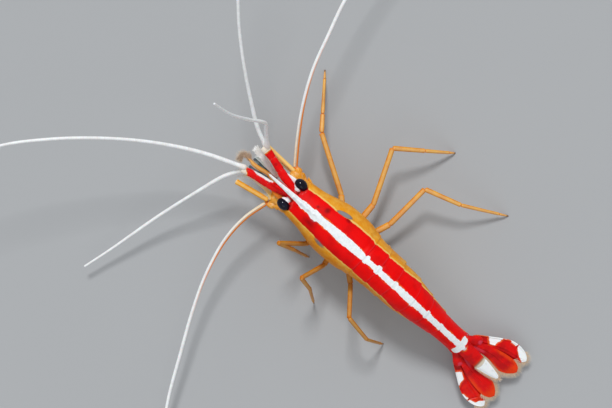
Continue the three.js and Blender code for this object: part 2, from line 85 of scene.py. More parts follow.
# The edge of the red band, in degrees round the body from its top, on each side. It steps in
# at the front of each ring of the abdomen and widens along the ring.
BAND_RIGHT = [[0, 43], [2.7, 45.5], [4.5, 42], [6.3, 37.5], [7.6, 36], [9.5, 39], [11.7, 40.5], [13.5, 42],
              [15.2, 45], [15.7, 41.5], [16.2, 45], [18.9, 51.5], [19.4, 47.5], [22.7, 53],
              [23.3, 51], [25, 54], [27.9, 63], [28.4, 57], [31.3, 67], [33.4, 74], [36, 83], [41.8, 97]]
BAND_LEFT = [[0, 41], [2.7, 43], [4.5, 40], [6.3, 37.5], [8.5, 38.5], [11.7, 38], [13.5, 39],
             [15.2, 42], [15.7, 40], [16.2, 45.5], [18.9, 50], [19.4, 48.5], [22.7, 51],
             [23.3, 50], [25, 53], [27.9, 63], [28.4, 58], [31.6, 72], [34, 81], [36, 86], [41.8, 97]]

SIDES = {"L": 1, "R": -1}      # the direction of each side along x
EYE = np.array([2.4, -1.03, 12.3])
CORNEA = np.array([0.98, 1.3, 1.12])      # half sizes: across, along and up

rng = np.random.default_rng(20)


# ------------------------------------------------------------------ curves and places

def hermite(s, a, b, slope_a, slope_b):
    """A smooth run from a to b as s goes from 0 to 1, with these slopes at its ends."""
    start = (2 * s ** 3 - 3 * s ** 2 + 1) * a + (s ** 3 - 2 * s ** 2 + s) * slope_a
    return start + (3 * s ** 2 - 2 * s ** 3) * b + (s ** 3 - s ** 2) * slope_b


def profile(pairs):
    """A smooth function through [place, size] pairs."""
    place, size = np.array(pairs, float).T
    last = len(pairs) - 1

    def at(y):
        y = np.asarray(y, float)
        k = np.clip(np.searchsorted(place, y) - 1, 0, last - 1)
        before = np.maximum(k - 1, 0)
        after = np.minimum(k + 2, last)
        width = place[k + 1] - place[k]
        slope = (size[k + 1] - size[before]) / (place[k + 1] - place[before]) * width
        next_slope = (size[after] - size[k]) / (place[after] - place[k]) * width
        return hermite((y - place[k]) / width, size[k], size[k + 1], slope, next_slope)

    return at


back = profile(BACK)
half_width = profile(HALF_WIDTH)
depth = profile(DEPTH)


def side_bend(y):
    """The animal lies in a very slight sideways curve."""
    tailward = np.clip(y, 0, BEND_END)
    return 0.21 - 0.0415 * tailward + 0.00098 * tailward ** 2


def steps_of(pairs, y):
    """Straight runs between [place, size] pairs."""
    return np.interp(y, *np.array(pairs, float).T)


def ramp(x, low, high):
    """0 below low, 1 above high and a smooth rise between them."""
    s = np.clip((np.asarray(x, float) - low) / (high - low), 0, 1)
    return s * s * (3 - 2 * s)


def bump_at(x, centre, width):
    return np.exp(-((np.asarray(x, float) - centre) / width) ** 2)


def points_at(x, y, z):
    return np.stack(np.broadcast_arrays(x, y, z), -1)


def unit(v):
    v = np.asarray(v, float)
    return v / np.linalg.norm(v, axis=-1, keepdims=True)


def body_points(y, angle, out):
    """Points on the body at y, at an angle round it from the top, moved outwards by out."""
    y, angle, out = np.broadcast_arrays(np.asarray(y, float), angle, out)
    step = 0.4
    slope = np.arctan2(back(y + step) - back(y - step), 2 * step)
    half = half_width(y)
    upper = WIDEST * depth(y)
    lower = (depth(y) - upper) / -math.cos(ARCH)
    over = np.abs(angle) <= math.pi / 2
    down = np.where(over, upper * (1 - np.cos(angle)), upper - lower * np.cos(angle))
    tall = np.where(over, upper, lower)
    normal = unit(np.stack([tall * np.sin(angle), half * np.cos(angle)], -1))
    x = half * np.sin(angle) + out * normal[..., 0]
    up = out * normal[..., 1] - down
    return points_at(side_bend(y) + x, y - up * np.sin(slope), back(y) + up * np.cos(slope))


def smooth_route(points, count):
    """A centripetal curve through points, as count evenly spaced points."""
    points = np.asarray(points, float)
    first = 2 * points[0] - points[1]
    final = 2 * points[-1] - points[-2]
    padded = np.vstack([first, points, final])
    fine = []
    for p0, p1, p2, p3 in zip(padded, padded[1:], padded[2:], padded[3:]):
        d0, d1, d2 = (math.sqrt(np.linalg.norm(b - a)) for a, b in ((p0, p1), (p1, p2), (p2, p3)))
        m1 = ((p1 - p0) / d0 - (p2 - p0) / (d0 + d1) + (p2 - p1) / d1) * d1
        m2 = ((p2 - p1) / d1 - (p3 - p1) / (d1 + d2) + (p3 - p2) / d2) * d1
        s = np.linspace(0, 1, 40, endpoint=False)[:, None]
        fine.append(hermite(s, p1, p2, m1, m2))
    return even_points(np.vstack(fine + [points[-1:]]), count)


def distances(line):
    """How far along a line each of its points lies."""
    return np.concatenate([[0], np.cumsum(np.linalg.norm(np.diff(line, axis=0), axis=1))])


def even_points(line, count):
    """The same line, as count points at equal distances."""
    line = np.asarray(line, float)
    lengths = distances(line)
    at = np.linspace(0, lengths[-1], count)
    return np.stack([np.interp(at, lengths, line[:, k]) for k in range(3)], -1)


def straight(a, b, count):
    return np.linspace(np.asarray(a, float), np.asarray(b, float), count)


def between(a, b, share):
    """The place that lies this share of the way from a to b."""
    return a + (b - a) * share


# ------------------------------------------------------------------ from millimetres to pieces

eye_low, eye_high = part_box("eye_L")
eye_in_frame = 500 * (np.array(eye_low) + np.array(eye_high))
SHIFT = eye_in_frame - (EYE + np.array([side_bend(0), 0, 0]))


def placed(points):
    """Points in the animal's own millimetres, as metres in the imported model's frame."""
    return (np.asarray(points, float) + SHIFT) * 0.001


class Shape:
    """Points, faces and named values of one piece, before it becomes a mesh."""

    def __init__(self):
        self.blocks = []
        self.faces = []
        self.count = 0

    def add(self, points, faces, places=None, **values):
        points = np.asarray(points, float).reshape(-1, 3)
        self.faces.extend([tuple(i + self.count for i in face) for face in faces])
        self.blocks.append((points, places, values))
        self.count += len(points)

    def points(self):
        return np.vstack([block[0] for block in self.blocks])

    def value(self, name):
        parts = [np.broadcast_to(np.ravel(values.get(name, 0.0)), (len(points),))
                 for points, _, values in self.blocks]
        return np.concatenate(parts)

    def names(self):
        return sorted({name for _, _, values in self.blocks for name in values})


def grid_faces(rows, columns, start=0, wrap=False, flip=False):
    faces = []
    for r in range(rows - 1):
        for c in range(columns if wrap else columns - 1):
            a = start + r * columns + c
            b = start + r * columns + (c + 1) % columns
            quad = (a, b, b + columns, a + columns)
            faces.append(quad[::-1] if flip else quad)
    return faces


def tube_faces(rings, sides):
    """The faces of a closed tube, whose two end points come after its rings."""
    total = rings * sides
    start_cap = [(total, (c + 1) % sides, c) for c in range(sides)]
    end_cap = [(total + 1, total - sides + c, total - sides + (c + 1) % sides) for c in range(sides)]
    return grid_faces(rings, sides, wrap=True) + start_cap + end_cap


def add_sheet(shape, outer, inner, **values):
    """A closed thin sheet between two grids of points of the same size."""
    rows, columns = outer.shape[:2]
    total = rows * columns
    faces = grid_faces(rows, columns) + grid_faces(rows, columns, total, flip=True)
    border = [(0, c) for c in range(columns - 1)]
    border += [(r, columns - 1) for r in range(rows - 1)]
    border += [(rows - 1, c) for c in range(columns - 1, 0, -1)]
    border += [(r, 0) for r in range(rows - 1, 0, -1)]
    ring = [r * columns + c for r, c in border]
    for a, b in zip(ring, ring[1:] + ring[:1]):
        faces.append((b, a, a + total, b + total))
    both = {name: np.tile(np.broadcast_to(v, (rows, columns)).ravel(), 2) for name, v in values.items()}
    shape.add(np.concatenate([outer.reshape(-1, 3), inner.reshape(-1, 3)]), faces, **both)


def rings_along(path, radius, sides, up, tall):
    """Rings of points round a path, turned as little as possible from one to the next."""
    path = np.asarray(path, float)
    count = len(path)
    radius = np.broadcast_to(radius, (count,))
    tall = radius if tall is None else np.broadcast_to(tall, (count,))
    ahead = unit(np.gradient(path, axis=0))
    over = np.asarray(up, float)
    turn = 2 * np.pi * np.arange(sides) / sides
    rings = np.empty((count, sides, 3))
    for i in range(count):
        over = unit(over - np.dot(over, ahead[i]) * ahead[i])
        across = np.cross(over, ahead[i])
        rings[i] = (path[i] + radius[i] * np.sin(turn)[:, None] * across
                    + tall[i] * np.cos(turn)[:, None] * over)
    return rings


def add_tube(shape, path, radius, sides, up=(0, 0, 1), tall=None, **values):
    """A closed tube. It also carries along (mm), share (0 to 1) and around (-1 to 1, 0 on top)."""
    path = np.asarray(path, float)
    rings = rings_along(path, radius, sides, up, tall)
    count = len(path)
    along = distances(path)
    turn = (np.arange(sides) / sides + 0.5) % 1 * 2 - 1

    def spread(per_ring):
        per_ring = np.broadcast_to(per_ring, (count,))
        return np.concatenate([np.repeat(per_ring, sides), per_ring[[0, -1]]])

    given = {name: spread(v) for name, v in values.items()}
    given["along"] = spread(along)
    given["share"] = spread(along / max(along[-1], 1e-6))
    given["around"] = np.concatenate([np.tile(turn, count), [0, 0]])
    shape.add(np.vstack([rings.reshape(-1, 3), path[[0, -1]]]), tube_faces(count, sides), **given)


def rounded(radius, path, cap=0.9):
    """A tube's radius, drawn in at both ends so that they are round."""
    along = distances(path)
    radius = np.broadcast_to(radius, along.shape)
    near = np.minimum(along / (cap * radius[0]), (along[-1] - along) / (cap * radius[-1]))
    return radius * np.sqrt(np.clip(1 - (1 - np.clip(near, 0, 1)) ** 2, 0.003, 1))


def crowded_line(a, b, count):
    """A straight path from a to b with its points crowded towards both ends."""
    s = np.linspace(0, 1, count)
    crowd = 0.5 - 0.5 * np.cos(np.pi * s)
    return between(np.asarray(a, float), np.asarray(b, float), (0.35 * s + 0.65 * crowd)[:, None])


def capped_line(a, b, count, radius, cap=0.9):
    """A crowded line and the radius along it of a tube with round ends."""
    path = crowded_line(a, b, count)
    return path, rounded(radius, path, cap)


def add_ellipsoid(shape, centre, half_sizes, sides, rows, axis=0, **values):
    """An ellipsoid whose poles lie on the given axis."""
    polar = np.linspace(0.02, np.pi - 0.02, rows)
    path = -np.outer(np.cos(polar), np.eye(3)[axis])
    ball = Shape()
    add_tube(ball, path, np.sin(polar), sides, up=np.eye(3)[(axis + 2) % 3], **values)
    points, _, given = ball.blocks[0]
    shape.add(np.asarray(centre, float) + points * np.asarray(half_sizes, float), ball.faces, **given)


HAIR_LEVELS = np.array([0, 0.35, 0.7])
HAIR_FACES = [(0, 1, 4, 3), (1, 2, 5, 4), (2, 0, 3, 5), (3, 4, 7, 6), (4, 5, 8, 7), (5, 3, 6, 8),
              (6, 7, 9), (7, 8, 9), (8, 6, 9), (2, 1, 0)]
TUFT_PATCH = 0.003             # size of each hair's patch on the coat's map


def add_hairs(shape, roots, directions, lengths, radius, places, curve=0.15):
    """Thin tapering hairs, each a closed mesh, mapped to its root's place on the skin's unwrap.

    places gives those places, across the map and up it. curve is how far the hairs hang.
    """
    roots = np.asarray(roots, float)
    count = len(roots)
    directions = unit(directions)
    lengths = np.broadcast_to(lengths, (count,))[:, None]
    helper = np.where(np.abs(directions[:, 2:]) < 0.9, [[0, 0, 1.0]], [[0, 1.0, 0]])
    across = unit(np.cross(directions, helper))
    over = np.cross(across, directions)
    points = np.empty((count, 10, 3))
    sag = np.array([0, 0, -curve])
    for level, share in enumerate(HAIR_LEVELS):
        centre = roots + directions * lengths * share + sag * lengths * share ** 2
        thin = radius * (1 - 0.75 * share)
        for corner in range(3):
            turn = 2 * np.pi * corner / 3
            spoke = math.cos(turn) * across + math.sin(turn) * over
            points[:, 3 * level + corner] = centre + thin * spoke
    points[:, 9] = roots + directions * lengths + sag * lengths
    faces = [tuple(10 * i + k for k in face) for i in range(count) for face in HAIR_FACES]
    spot = np.array([[k % 3 / 2, k // 3 / 3] for k in range(10)]) * TUFT_PATCH
    places = np.stack([np.broadcast_to(place, (count,)) for place in places], -1)
    map_places = np.clip(places, 0, 1 - TUFT_PATCH)[:, None, :] + spot
    share = np.tile(np.concatenate([np.repeat(HAIR_LEVELS, 3), [1]]), count)
    shape.add(points, faces, places=map_places.reshape(-1, 2), share=share)


SHARP_ANGLE = math.radians(38)
MELT_GRAIN = 0.00005           # metres
MELT_ROUNDS = 9


def new_object(name, data):
    obj = bpy.data.objects.new(name, data)
    bpy.context.scene.collection.objects.link(obj)
    return obj


def set_value(mesh, name, numbers):
    mesh.attributes.new(name, "FLOAT", "POINT").data.foreach_set("value", numbers)


def make_piece(shape, name, look, stands_for=()):
    """Makes the mesh, gives it its values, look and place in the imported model."""
    mesh = bpy.data.meshes.new(name)
    mesh.from_pydata(placed(shape.points()).tolist(), [], shape.faces)
    work = bmesh.new()
    work.from_mesh(mesh)
    bmesh.ops.recalc_face_normals(work, faces=work.faces)
    work.to_mesh(mesh)
    work.free()
    mesh.polygons.foreach_set("use_smooth", [True] * len(mesh.polygons))
    mesh.set_sharp_from_angle(angle=SHARP_ANGLE)
    for value in shape.names():
        set_value(mesh, value, shape.value(value))
    if all(block[1] is not None for block in shape.blocks):
        corners = np.empty(len(mesh.loops), dtype=np.int32)
        mesh.loops.foreach_get("vertex_index", corners)
        flat = np.vstack([block[1] for block in shape.blocks])[corners]
        mesh.uv_layers.new(name="OFBake").data.foreach_set("uv", flat.ravel())
    mesh.materials.append(look)
    mesh.update()
    obj = new_object(name, mesh)
    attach(obj, "root")
    if stands_for:
        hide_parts(*stands_for)
    return obj


def melt(piece, ring_at=None):
    """Joins a piece's overlapping parts into one skin and softens the creases between them.

    ring_at is the place, in the animal's millimetres, round which the skin's ring value rises to 1.
    """
    join = piece.modifiers.new("join", "REMESH")
    join.mode = "VOXEL"
    join.voxel_size = MELT_GRAIN
    join.use_smooth_shade = True
    soften = piece.modifiers.new("soften", "SMOOTH")
    soften.iterations = MELT_ROUNDS
    skin = bpy.data.meshes.new_from_object(piece.evaluated_get(bpy.context.evaluated_depsgraph_get()))
    look = piece.data.materials[0]
    piece.modifiers.clear()
    piece.data = skin
    skin.materials.clear()
    skin.materials.append(look)
    if ring_at is not None:
        points = np.empty(3 * len(skin.vertices))
        skin.vertices.foreach_get("co", points)
        away = 1000 * np.linalg.norm(points.reshape(-1, 3) - placed(ring_at), axis=1)
        set_value(skin, "ring", 1 - ramp(away, 0.4, 0.75))


# ------------------------------------------------------------------ looks

def colour(*screen):
    """A screen colour, red, green and blue from 0 to 255, as the linear colour a shader takes."""
    shares = [value / 255 for value in screen]
    return (*(s / 12.92 if s <= 0.04045 else ((s + 0.055) / 1.055) ** 2.4 for s in shares), 1.0)


SCARLET = colour(242, 1, 1)
CRIMSON = colour(190, 0, 3)
WHITE = colour(246, 249, 250)
AMBER = colour(234, 152, 22)
AMBER_DEEP = colour(212, 118, 6)
AMBER_PALE = colour(240, 182, 74)
CREAM = colour(244, 226, 186)
CHALK = colour(255, 255, 253)
SKIN_SCALE = 0.0005            # metres that light soaks into the skin
SKIN_DEPTHS = (1.0, 0.35, 0.2)     # the share of that for red, green and blue


class Look:
    """A Principled material put together from nodes. Sizes are in millimetres.

    A socket takes a number, a colour, another node's result, or the name of one of the piece's values.
    """

    def __init__(self, name, roughness=0.4, coat=0.0, coat_roughness=0.2, skin=0.0, gloss=0.3):
        self.material = bpy.data.materials.new(name)
        self.material.use_nodes = True
        self.tree = self.material.node_tree
        self.shader = self.tree.nodes["Principled BSDF"]
        self.fill(self.shader, {
            "Roughness": roughness, "Specular IOR Level": gloss, "Coat Weight": coat,
            "Coat Roughness": coat_roughness, "Subsurface Weight": skin,
            "Subsurface Radius": SKIN_DEPTHS, "Subsurface Scale": SKIN_SCALE,
        })
        self.where = self.tree.nodes.new("ShaderNodeTexCoord").outputs["Object"]

    def fill(self, node, sockets):
        for name, value in sockets.items():
            socket = node.inputs[name]
            if isinstance(value, str):
                value = self.node("ShaderNodeAttribute", "Fac", {}, attribute_name=value)
            if isinstance(value, bpy.types.NodeSocket):
                self.tree.links.new(value, socket)
            else:
                socket.default_value = value

    def node(self, kind, result, sockets, **settings):
        """Adds a node with these sockets and settings, and gives the result asked for."""
        node = self.tree.nodes.new(kind)
        for name, value in settings.items():
            setattr(node, name, value)
        self.fill(node, sockets)
        return node.outputs[result]

    def math(self, operation, a, b=0.0):
        return self.node("ShaderNodeMath", 0, {0: a, 1: b}, operation=operation)

    def add(self, a, b):
        return self.math("ADD", a, b)

    def times(self, a, b):
        return self.math("MULTIPLY", a, b)

    def greater(self, a, b):
        return self.math("MAXIMUM", a, b)

    def rise(self, x, low, high, start=0.0, end=1.0):
        """From start at low to end at high, smoothly."""
        sockets = {"Value": x, "From Min": low, "From Max": high, "To Min": start, "To Max": end}
        return self.node("ShaderNodeMapRange", "Result", sockets, interpolation_type="SMOOTHSTEP")

    def line(self, x, centre, width):
        """1 at centre, falling to 0 at width either side."""
        away = self.math("ABSOLUTE", self.math("SUBTRACT", x, centre))
        return self.rise(away, 0.35 * width, width, 1, 0)

    def mix(self, share, a, b):
        return self.node("ShaderNodeMix", 2, {0: share, 6: a, 7: b}, data_type="RGBA")

    def layers(self, base, *over):
        """The base colour with each (share, colour) of the others laid over it in turn."""
        for share, tone in over:
            base = self.mix(share, base, tone)
        return base

    def noise(self, per_mm, detail):
        """Noise from 0 to 1 with about per_mm lumps to the millimetre."""
        sockets = {"Vector": self.where, "Scale": 1000 * per_mm, "Detail": detail}
        return self.node("ShaderNodeTexNoise", "Fac", sockets)

    def clouds(self, per_mm, detail, low, high, most=1.0):
        """Noise that counts as 0 up to low and as most from high."""
        return self.rise(self.noise(per_mm, detail), low, high, 0, most)

    def ragged(self, per_mm, detail, size):
        """Noise about 0, to fray the edge of a marking."""
        return self.times(self.math("SUBTRACT", self.noise(per_mm, detail), 0.5), size)

    def cells(self, per_mm, feature="F1"):
        sockets = {"Vector": self.where, "Scale": 1000 * per_mm}
        return self.node("ShaderNodeTexVoronoi", "Distance", sockets, feature=feature)

    def dots(self, per_mm, low, high, most):
        """Dots of strength most, fading out between these distances from their middles."""
        return self.rise(self.cells(per_mm), low, high, most, 0)

    def waves(self, x, per_mm):
        """A smooth wave from 0 to 1 with per_mm crests to each unit of x."""
        return self.math("MULTIPLY_ADD", self.math("SINE", self.times(x, 2 * math.pi * per_mm)), 0.5)

    def bump(self, height, depth_mm, strength=0.5):
        sockets = {"Strength": strength, "Distance": 0.001 * depth_mm, "Height": height}
        self.fill(self.shader, {"Normal": self.node("ShaderNodeBump", "Normal", sockets)})

    def finish(self, base, **sockets):
        self.fill(self.shader, {"Base Color": base, **sockets})
        return self.material


def amber_skin(look):
    """Amber, softly mottled paler and deeper, with fine orange pigment dots."""
    return look.layers(
        AMBER,
        (look.clouds(0.5, 4, 0.36, 0.68, 0.8), AMBER_PALE),
        (look.clouds(1.1, 3, 0.46, 0.74, 0.4), AMBER_DEEP),
        (look.dots(5.0, 0.1, 0.26, 0.45), colour(206, 84, 10)),
    )


def red_skin(look):
    """Scarlet, deeper in clouds and peppered with darker pigment."""
    return look.layers(
        SCARLET,
        (look.clouds(0.35, 4, 0.42, 0.74, 0.55), CRIMSON),
        (look.dots(5.6, 0.1, 0.3, 0.3), colour(150, 0, 3)),
    )


def shell_look():
    """Amber flanks, a smoky window, the red band and the white stripe, with frayed edges; painted shade
    deepens the left flank and lines the stripe's left edge.
    """
    look = Look("shell", roughness=0.42, coat=0.04, coat_roughness=0.22, skin=0.04, gloss=0.1)
    red_at = look.add(look.add("red", look.ragged(1.5, 5, 0.42)), look.ragged(5.0, 3, 0.16))
    white_at = look.add(look.add("white", look.ragged(1.7, 5, 0.42)), look.ragged(5.0, 3, 0.14))
    in_red = look.rise(red_at, -0.07, 0.07)
    in_white = look.rise(white_at, -0.05, 0.06)
    # The window value also carries a painted shade line beside the stripe's left edge.
    window = look.rise("window", 0.0, 0.5, 0, 0.92)
    no_window = look.math("SUBTRACT", 1.0, window)
    no_white = look.math("SUBTRACT", 1.0, in_white)
    haze = look.rise(look.add("window", look.times(look.noise(1.6, 3), 0.5)), 0.3, 0.95)
    glow = look.greater(look.clouds(0.8, 2, 0.46, 0.64, 0.6), "glow")
    base = look.layers(
        amber_skin(look),
        (look.times("belly", 0.6), AMBER_PALE),
        # painted shade: the left flank's amber is deeper, as the light reaches it less
        (look.times("ochre", 0.5), colour(208, 118, 0)),
        (look.times(look.line(red_at, -0.17, 0.24), look.times(no_window, "edge")), colour(240, 206, 122)),
        # deeper red where organs show through the shell, and painted shade on the left flank
        (in_red, look.mix(look.rise("shade", 0.0, 0.8, 0, 0.75), red_skin(look), colour(120, 0, 6))),
        (look.times(window, look.rise(in_red, 0.0, 1.0, 1.0, 0.55)),
         look.mix(haze, colour(64, 60, 78), colour(124, 134, 146))),
        (look.times(look.times(look.line(white_at, -0.1, 0.15), glow), 0.85), colour(242, 118, 22)),
        (in_white, look.mix(look.clouds(2.2, 3, 0.35, 0.7), WHITE, colour(232, 238, 240))),
        (look.times(look.rise("margin", 0.02, 0.2, 0.3, 0), no_white),
         look.mix(in_red, colour(186, 98, 16), colour(226, 70, 84))),
    )
    look.bump(look.add(look.cells(4.2), look.times(look.noise(1.1, 3), 0.8)), 0.02)
    return look.finish(base, Roughness=look.rise(look.noise(1.6, 3), 0.3, 0.7, 0.36, 0.52))


def flesh_look():
    look = Look("underside", roughness=0.45, coat=0.1, skin=0.2)
    look.bump(look.noise(2.4, 4), 0.04, 0.6)
    return look.finish(look.layers(
        colour(226, 170, 92),
        (look.clouds(0.8, 4, 0.35, 0.7), colour(238, 200, 138)),
        (look.dots(2.6, 0.1, 0.2, 0.5), colour(208, 96, 44)),
    ))


def eye_look():
    """Nearly black, with a fine net of facets and a paler rim."""
    look = Look("cornea", roughness=0.2, coat=0.45, coat_roughness=0.04, gloss=0.05)
    facets = look.cells(15.0, "DISTANCE_TO_EDGE")
    look.bump(facets, 0.006)
    return look.finish(look.layers(
        colour(3, 3, 12),
        (look.clouds(1.4, 4, 0.35, 0.7), colour(14, 14, 36)),
        (look.times("rim", 0.5), colour(104, 86, 84)),
        (look.rise(facets, 0.0, 0.12, 0.3, 0), colour(30, 30, 58)),
    ))


def stalk_look():
    look = Look("eyestalk", roughness=0.42, coat=0.15, skin=0.12)
    look.bump(look.noise(2.6, 3), 0.03)
    return look.finish(look.layers(
        colour(228, 112, 104),
        (look.clouds(1.5, 3, 0.4, 0.7), colour(214, 60, 56)),
        (look.times("red", 0.9), colour(226, 10, 8)),
        (look.rise(look.add("white", look.ragged(2.4, 4, 0.5)), 0.35, 0.6), WHITE),
    ))


def peduncle_look():
    """Red as far as ring reaches, then orange and cream, with a white mark."""
    look = Look("peduncle", roughness=0.42, coat=0.06, coat_roughness=0.22, skin=0.05, gloss=0.15)
    frayed = look.ragged(2.6, 4, 0.4)
    ring = look.add("ring", frayed)
    look.bump(look.noise(2.2, 4), 0.03)
    return look.finish(look.layers(
        red_skin(look),
        (look.clouds(1.0, 3, 0.56, 0.74, 0.5), colour(232, 52, 64)),
        (look.dots(0.9, 0.16, 0.36, 0.5), colour(150, 0, 8)),
        (look.rise(ring, 0.3, 0.5), colour(238, 132, 40)),
        (look.rise(ring, 0.72, 0.92), colour(244, 232, 214)),
        (look.rise(look.add("white", look.times(frayed, 0.35)), -0.05, 0.07), WHITE),
    ))


def amber_look():
    look = Look("amber_shell", roughness=0.42, coat=0.12, skin=0.12)
    look.bump(look.noise(2.2, 4), 0.03)
    return look.finish(look.layers(
        amber_skin(look),
        (look.clouds(1.7, 3, 0.5, 0.68, 0.6), colour(242, 206, 156)),
        (look.dots(1.9, 0.12, 0.3, 0.45), colour(176, 96, 30)),
        (look.rise("ring", 0.4, 0.8, 0, 0.6), colour(232, 104, 14)),
    ))


def scale_look(name, tip_share, bleach):
    """The antennal scale: an orange rod that carries a clear blade."""
    look = Look(name, roughness=0.38, coat=0.08, skin=0.05, gloss=0.15)
    film = look.layers(
        colour(226, 214, 176),
        (look.clouds(0.9, 3, 0.4, 0.65), colour(214, 222, 214)),
        ("margin", look.mix("near", colour(246, 242, 208), colour(246, 212, 128))),
    )
    base = look.layers(
        colour(238, 150, 8),
        (look.clouds(1.2, 4, 0.35, 0.7), colour(242, 178, 34)),
        (look.rise("middle", 0.15, 0.85, 0, 0.8), colour(250, 198, 112)),
        (look.times(look.rise("tip", 0.4, 1.0), tip_share), CREAM),
        (bleach, colour(252, 220, 140)),
        (look.rise("clear", 0.3, 0.7), film),
    )
    look.bump(look.waves("across", 2.2), 0.02)
    glassy = look.rise("clear", 0.3, 0.95, 1.0, 0.1)
    return look.finish(base, Alpha=look.greater(glassy, look.times("margin", 0.96)))


def feeler_look(name, tinted):
    """White and ringed. A tinted one is orange on its tailward side as far as its middle."""
    look = Look(name, roughness=0.45, coat=0.08, skin=0.06)
    base = look.layers(
        WHITE,
        (look.clouds(1.2, 3, 0.35, 0.7), colour(236, 236, 236)),
        (look.times(look.rise("joint", 0.55, 0.95), 0.22), colour(214, 196, 180)),
    )
    if not tinted:
        return look.finish(look.mix(look.rise("along", 0.0, 2.2, 0.3, 0), base, colour(232, 196, 150)))
    grey = look.times(look.line("tailward", 0.02, 0.14), look.rise("along", 4.0, 18.0, 0.6, 0))
    orange = look.times(look.rise("tailward", 0.03, 0.12), look.rise("along", 9.0, 30.0, 1, 0))
    return look.finish(look.layers(
        base,
        (look.rise("along", 0.0, 12.0, 0.5, 0), colour(244, 206, 110)),
        (grey, colour(138, 118, 108)),
        (orange, colour(240, 136, 42)),
    ))


def leg_look(name, bleach=0.0, shade=0.0):
    """Amber, with a painted highlight along the top and painted shade on the flanks, and dark claws."""
    look = Look(name, roughness=0.4, coat=0.06, skin=0.06, gloss=0.15)
    from_top = look.math("ABSOLUTE", "around")
    look.bump(look.noise(2.6, 3), 0.02)
    return look.finish(look.layers(
        colour(220, 132, 6),
        (look.clouds(0.6, 4, 0.35, 0.68), colour(236, 166, 36)),
        # painted highlight along the top of each segment
        (look.rise(from_top, 0.08, 0.34, 0.45, 0), colour(240, 206, 146)),
        # painted shade on the flanks and underside
        (look.rise(from_top, 0.42, 0.6, 0, 0.5), colour(204, 104, 8)),
        (look.dots(3.0, 0.1, 0.22, 0.6), colour(206, 84, 26)),
        (look.rise("ring", 0.3, 0.9, 0, 0.7), colour(230, 128, 22)),
        # painted shade over the whole leg, for the copy used on the side away from the light
        (shade, colour(132, 76, 0)),
        (look.rise("tip", 0.2, 0.95, 0, 0.85), colour(96, 52, 24)),
        (bleach, colour(252, 253, 248)),
    ))


def fin_look():
    """Red turning orange, with white patches, and clear film at the end of the telson."""
    look = Look("fin", roughness=0.42, coat=0.06, coat_roughness=0.2, skin=0.05, gloss=0.15)
    ragged = look.ragged(1.5, 5, 0.9)
    white_at = look.add("white", look.add(look.times(ragged, 0.4), look.ragged(4.0, 3, 0.3)))
    in_white = look.rise(white_at, -0.06, 0.08)
    edge_of_white = look.times(look.line(white_at, -0.14, 0.16), look.rise("clear", 0.2, 0.5, 0.7, 0))
    film = look.mix(look.rise("clear", 0.5, 1.0), colour(170, 112, 82), colour(232, 220, 198))
    base = look.layers(
        colour(226, 6, 6),
        (look.clouds(0.45, 4, 0.36, 0.68), colour(182, 6, 12)),
        (look.clouds(1.2, 3, 0.58, 0.8, 0.4), colour(222, 44, 50)),
        (look.rise("pink", 0.1, 0.8, 0, 0.7), colour(226, 70, 96)),
        (look.rise("dark", 0.1, 0.7, 0, 0.8), colour(132, 0, 8)),
        (look.rise(look.add("orange", ragged), 0.1, 0.95, 0, 0.85), colour(236, 64, 6)),
        (look.rise("clear", 0.3, 0.7), film),
        (edge_of_white, colour(238, 104, 40)),
        (in_white, WHITE),
    )
    look.bump(look.add("rib", look.times(look.noise(1.8, 3), 0.5)), 0.05, 0.6)
    return look.finish(base, Alpha=look.greater(look.rise("clear", 0.3, 0.7, 1.0, 0.82), in_white))


def hair_look(name, tone, tip, tip_alpha=None, stain=0.3):
    """Hairs that change from tone to tip, stained with cream in places and often clearer at the end."""
    look = Look(name, roughness=0.5, skin=0.06, gloss=0.2)
    base = look.layers(
        tone,
        (look.rise("share", 0.2, 1.0), tip),
        (look.clouds(2.0, 2, 0.4, 0.7, stain), CREAM),
    )
    if tip_alpha is None:
        return look.finish(base)
    return look.finish(base, Alpha=look.rise("share", 0.3, 1.0, 1.0, tip_alpha))


def membrane_look():
    """The smoky clear side branches of the mouth legs."""
    look = Look("clear_branch", roughness=0.3, coat=0.2, skin=0.1)
    base = look.layers(
        colour(84, 108, 116),
        (look.clouds(1.3, 4, 0.35, 0.7), colour(132, 154, 156)),
        ("ring", colour(236, 250, 248)),
    )
    look.bump(look.noise(2.4, 3), 0.02)
    return look.finish(base, Alpha=look.rise("share", 0.2, 1.0, 0.95, 0.85))


def floor_look():
    look = Look("floor", roughness=0.85)
    return look.finish(look.mix(look.noise(0.02, 2), colour(172, 174, 176), colour(175, 177, 179)))


looks = {
    "shell": shell_look(),
    "flesh": flesh_look(),
    "eye": eye_look(),
    "stalk": stalk_look(),
    "peduncle": peduncle_look(),
    "amber": amber_look(),
    "scale_L": scale_look("antennal_scale_left", 0.7, 0.0),
    "scale_R": scale_look("antennal_scale_right", 0.9, 0.62),
    "antennule": feeler_look("antennule_feeler", False),
    "antenna": feeler_look("antenna_feeler", True),
    "leg": leg_look("leg"),
    # The left legs use a copy with painted shade, as they lie away from the light.
    "left_leg_painted_shade": leg_look("left_leg_painted_shade", shade=0.4),
    "pale_leg": leg_look("pale_leg", bleach=0.97),
    "membrane": membrane_look(),
    "fin": fin_look(),
    "fringe": hair_look("fringe", colour(226, 196, 164), colour(244, 238, 226), 0.5),
    "white_hair": hair_look("white_hair", CHALK, CHALK, stain=0.14),
    "tan_hair": hair_look("tan_hair", colour(184, 152, 126), colour(216, 198, 178)),
}


# ------------------------------------------------------------------ carapace and rings of the body

def stripe_half(y, base, column):
    """Half the stripe's width on one side, with its swellings."""
    half = steps_of(base, y)
    for swell in STRIPE_SWELLS:
        half = half + swell[column] * (1 - ramp(np.abs(y - swell[0]), 0.55 * swell[3], 1.15 * swell[3]))
    return half


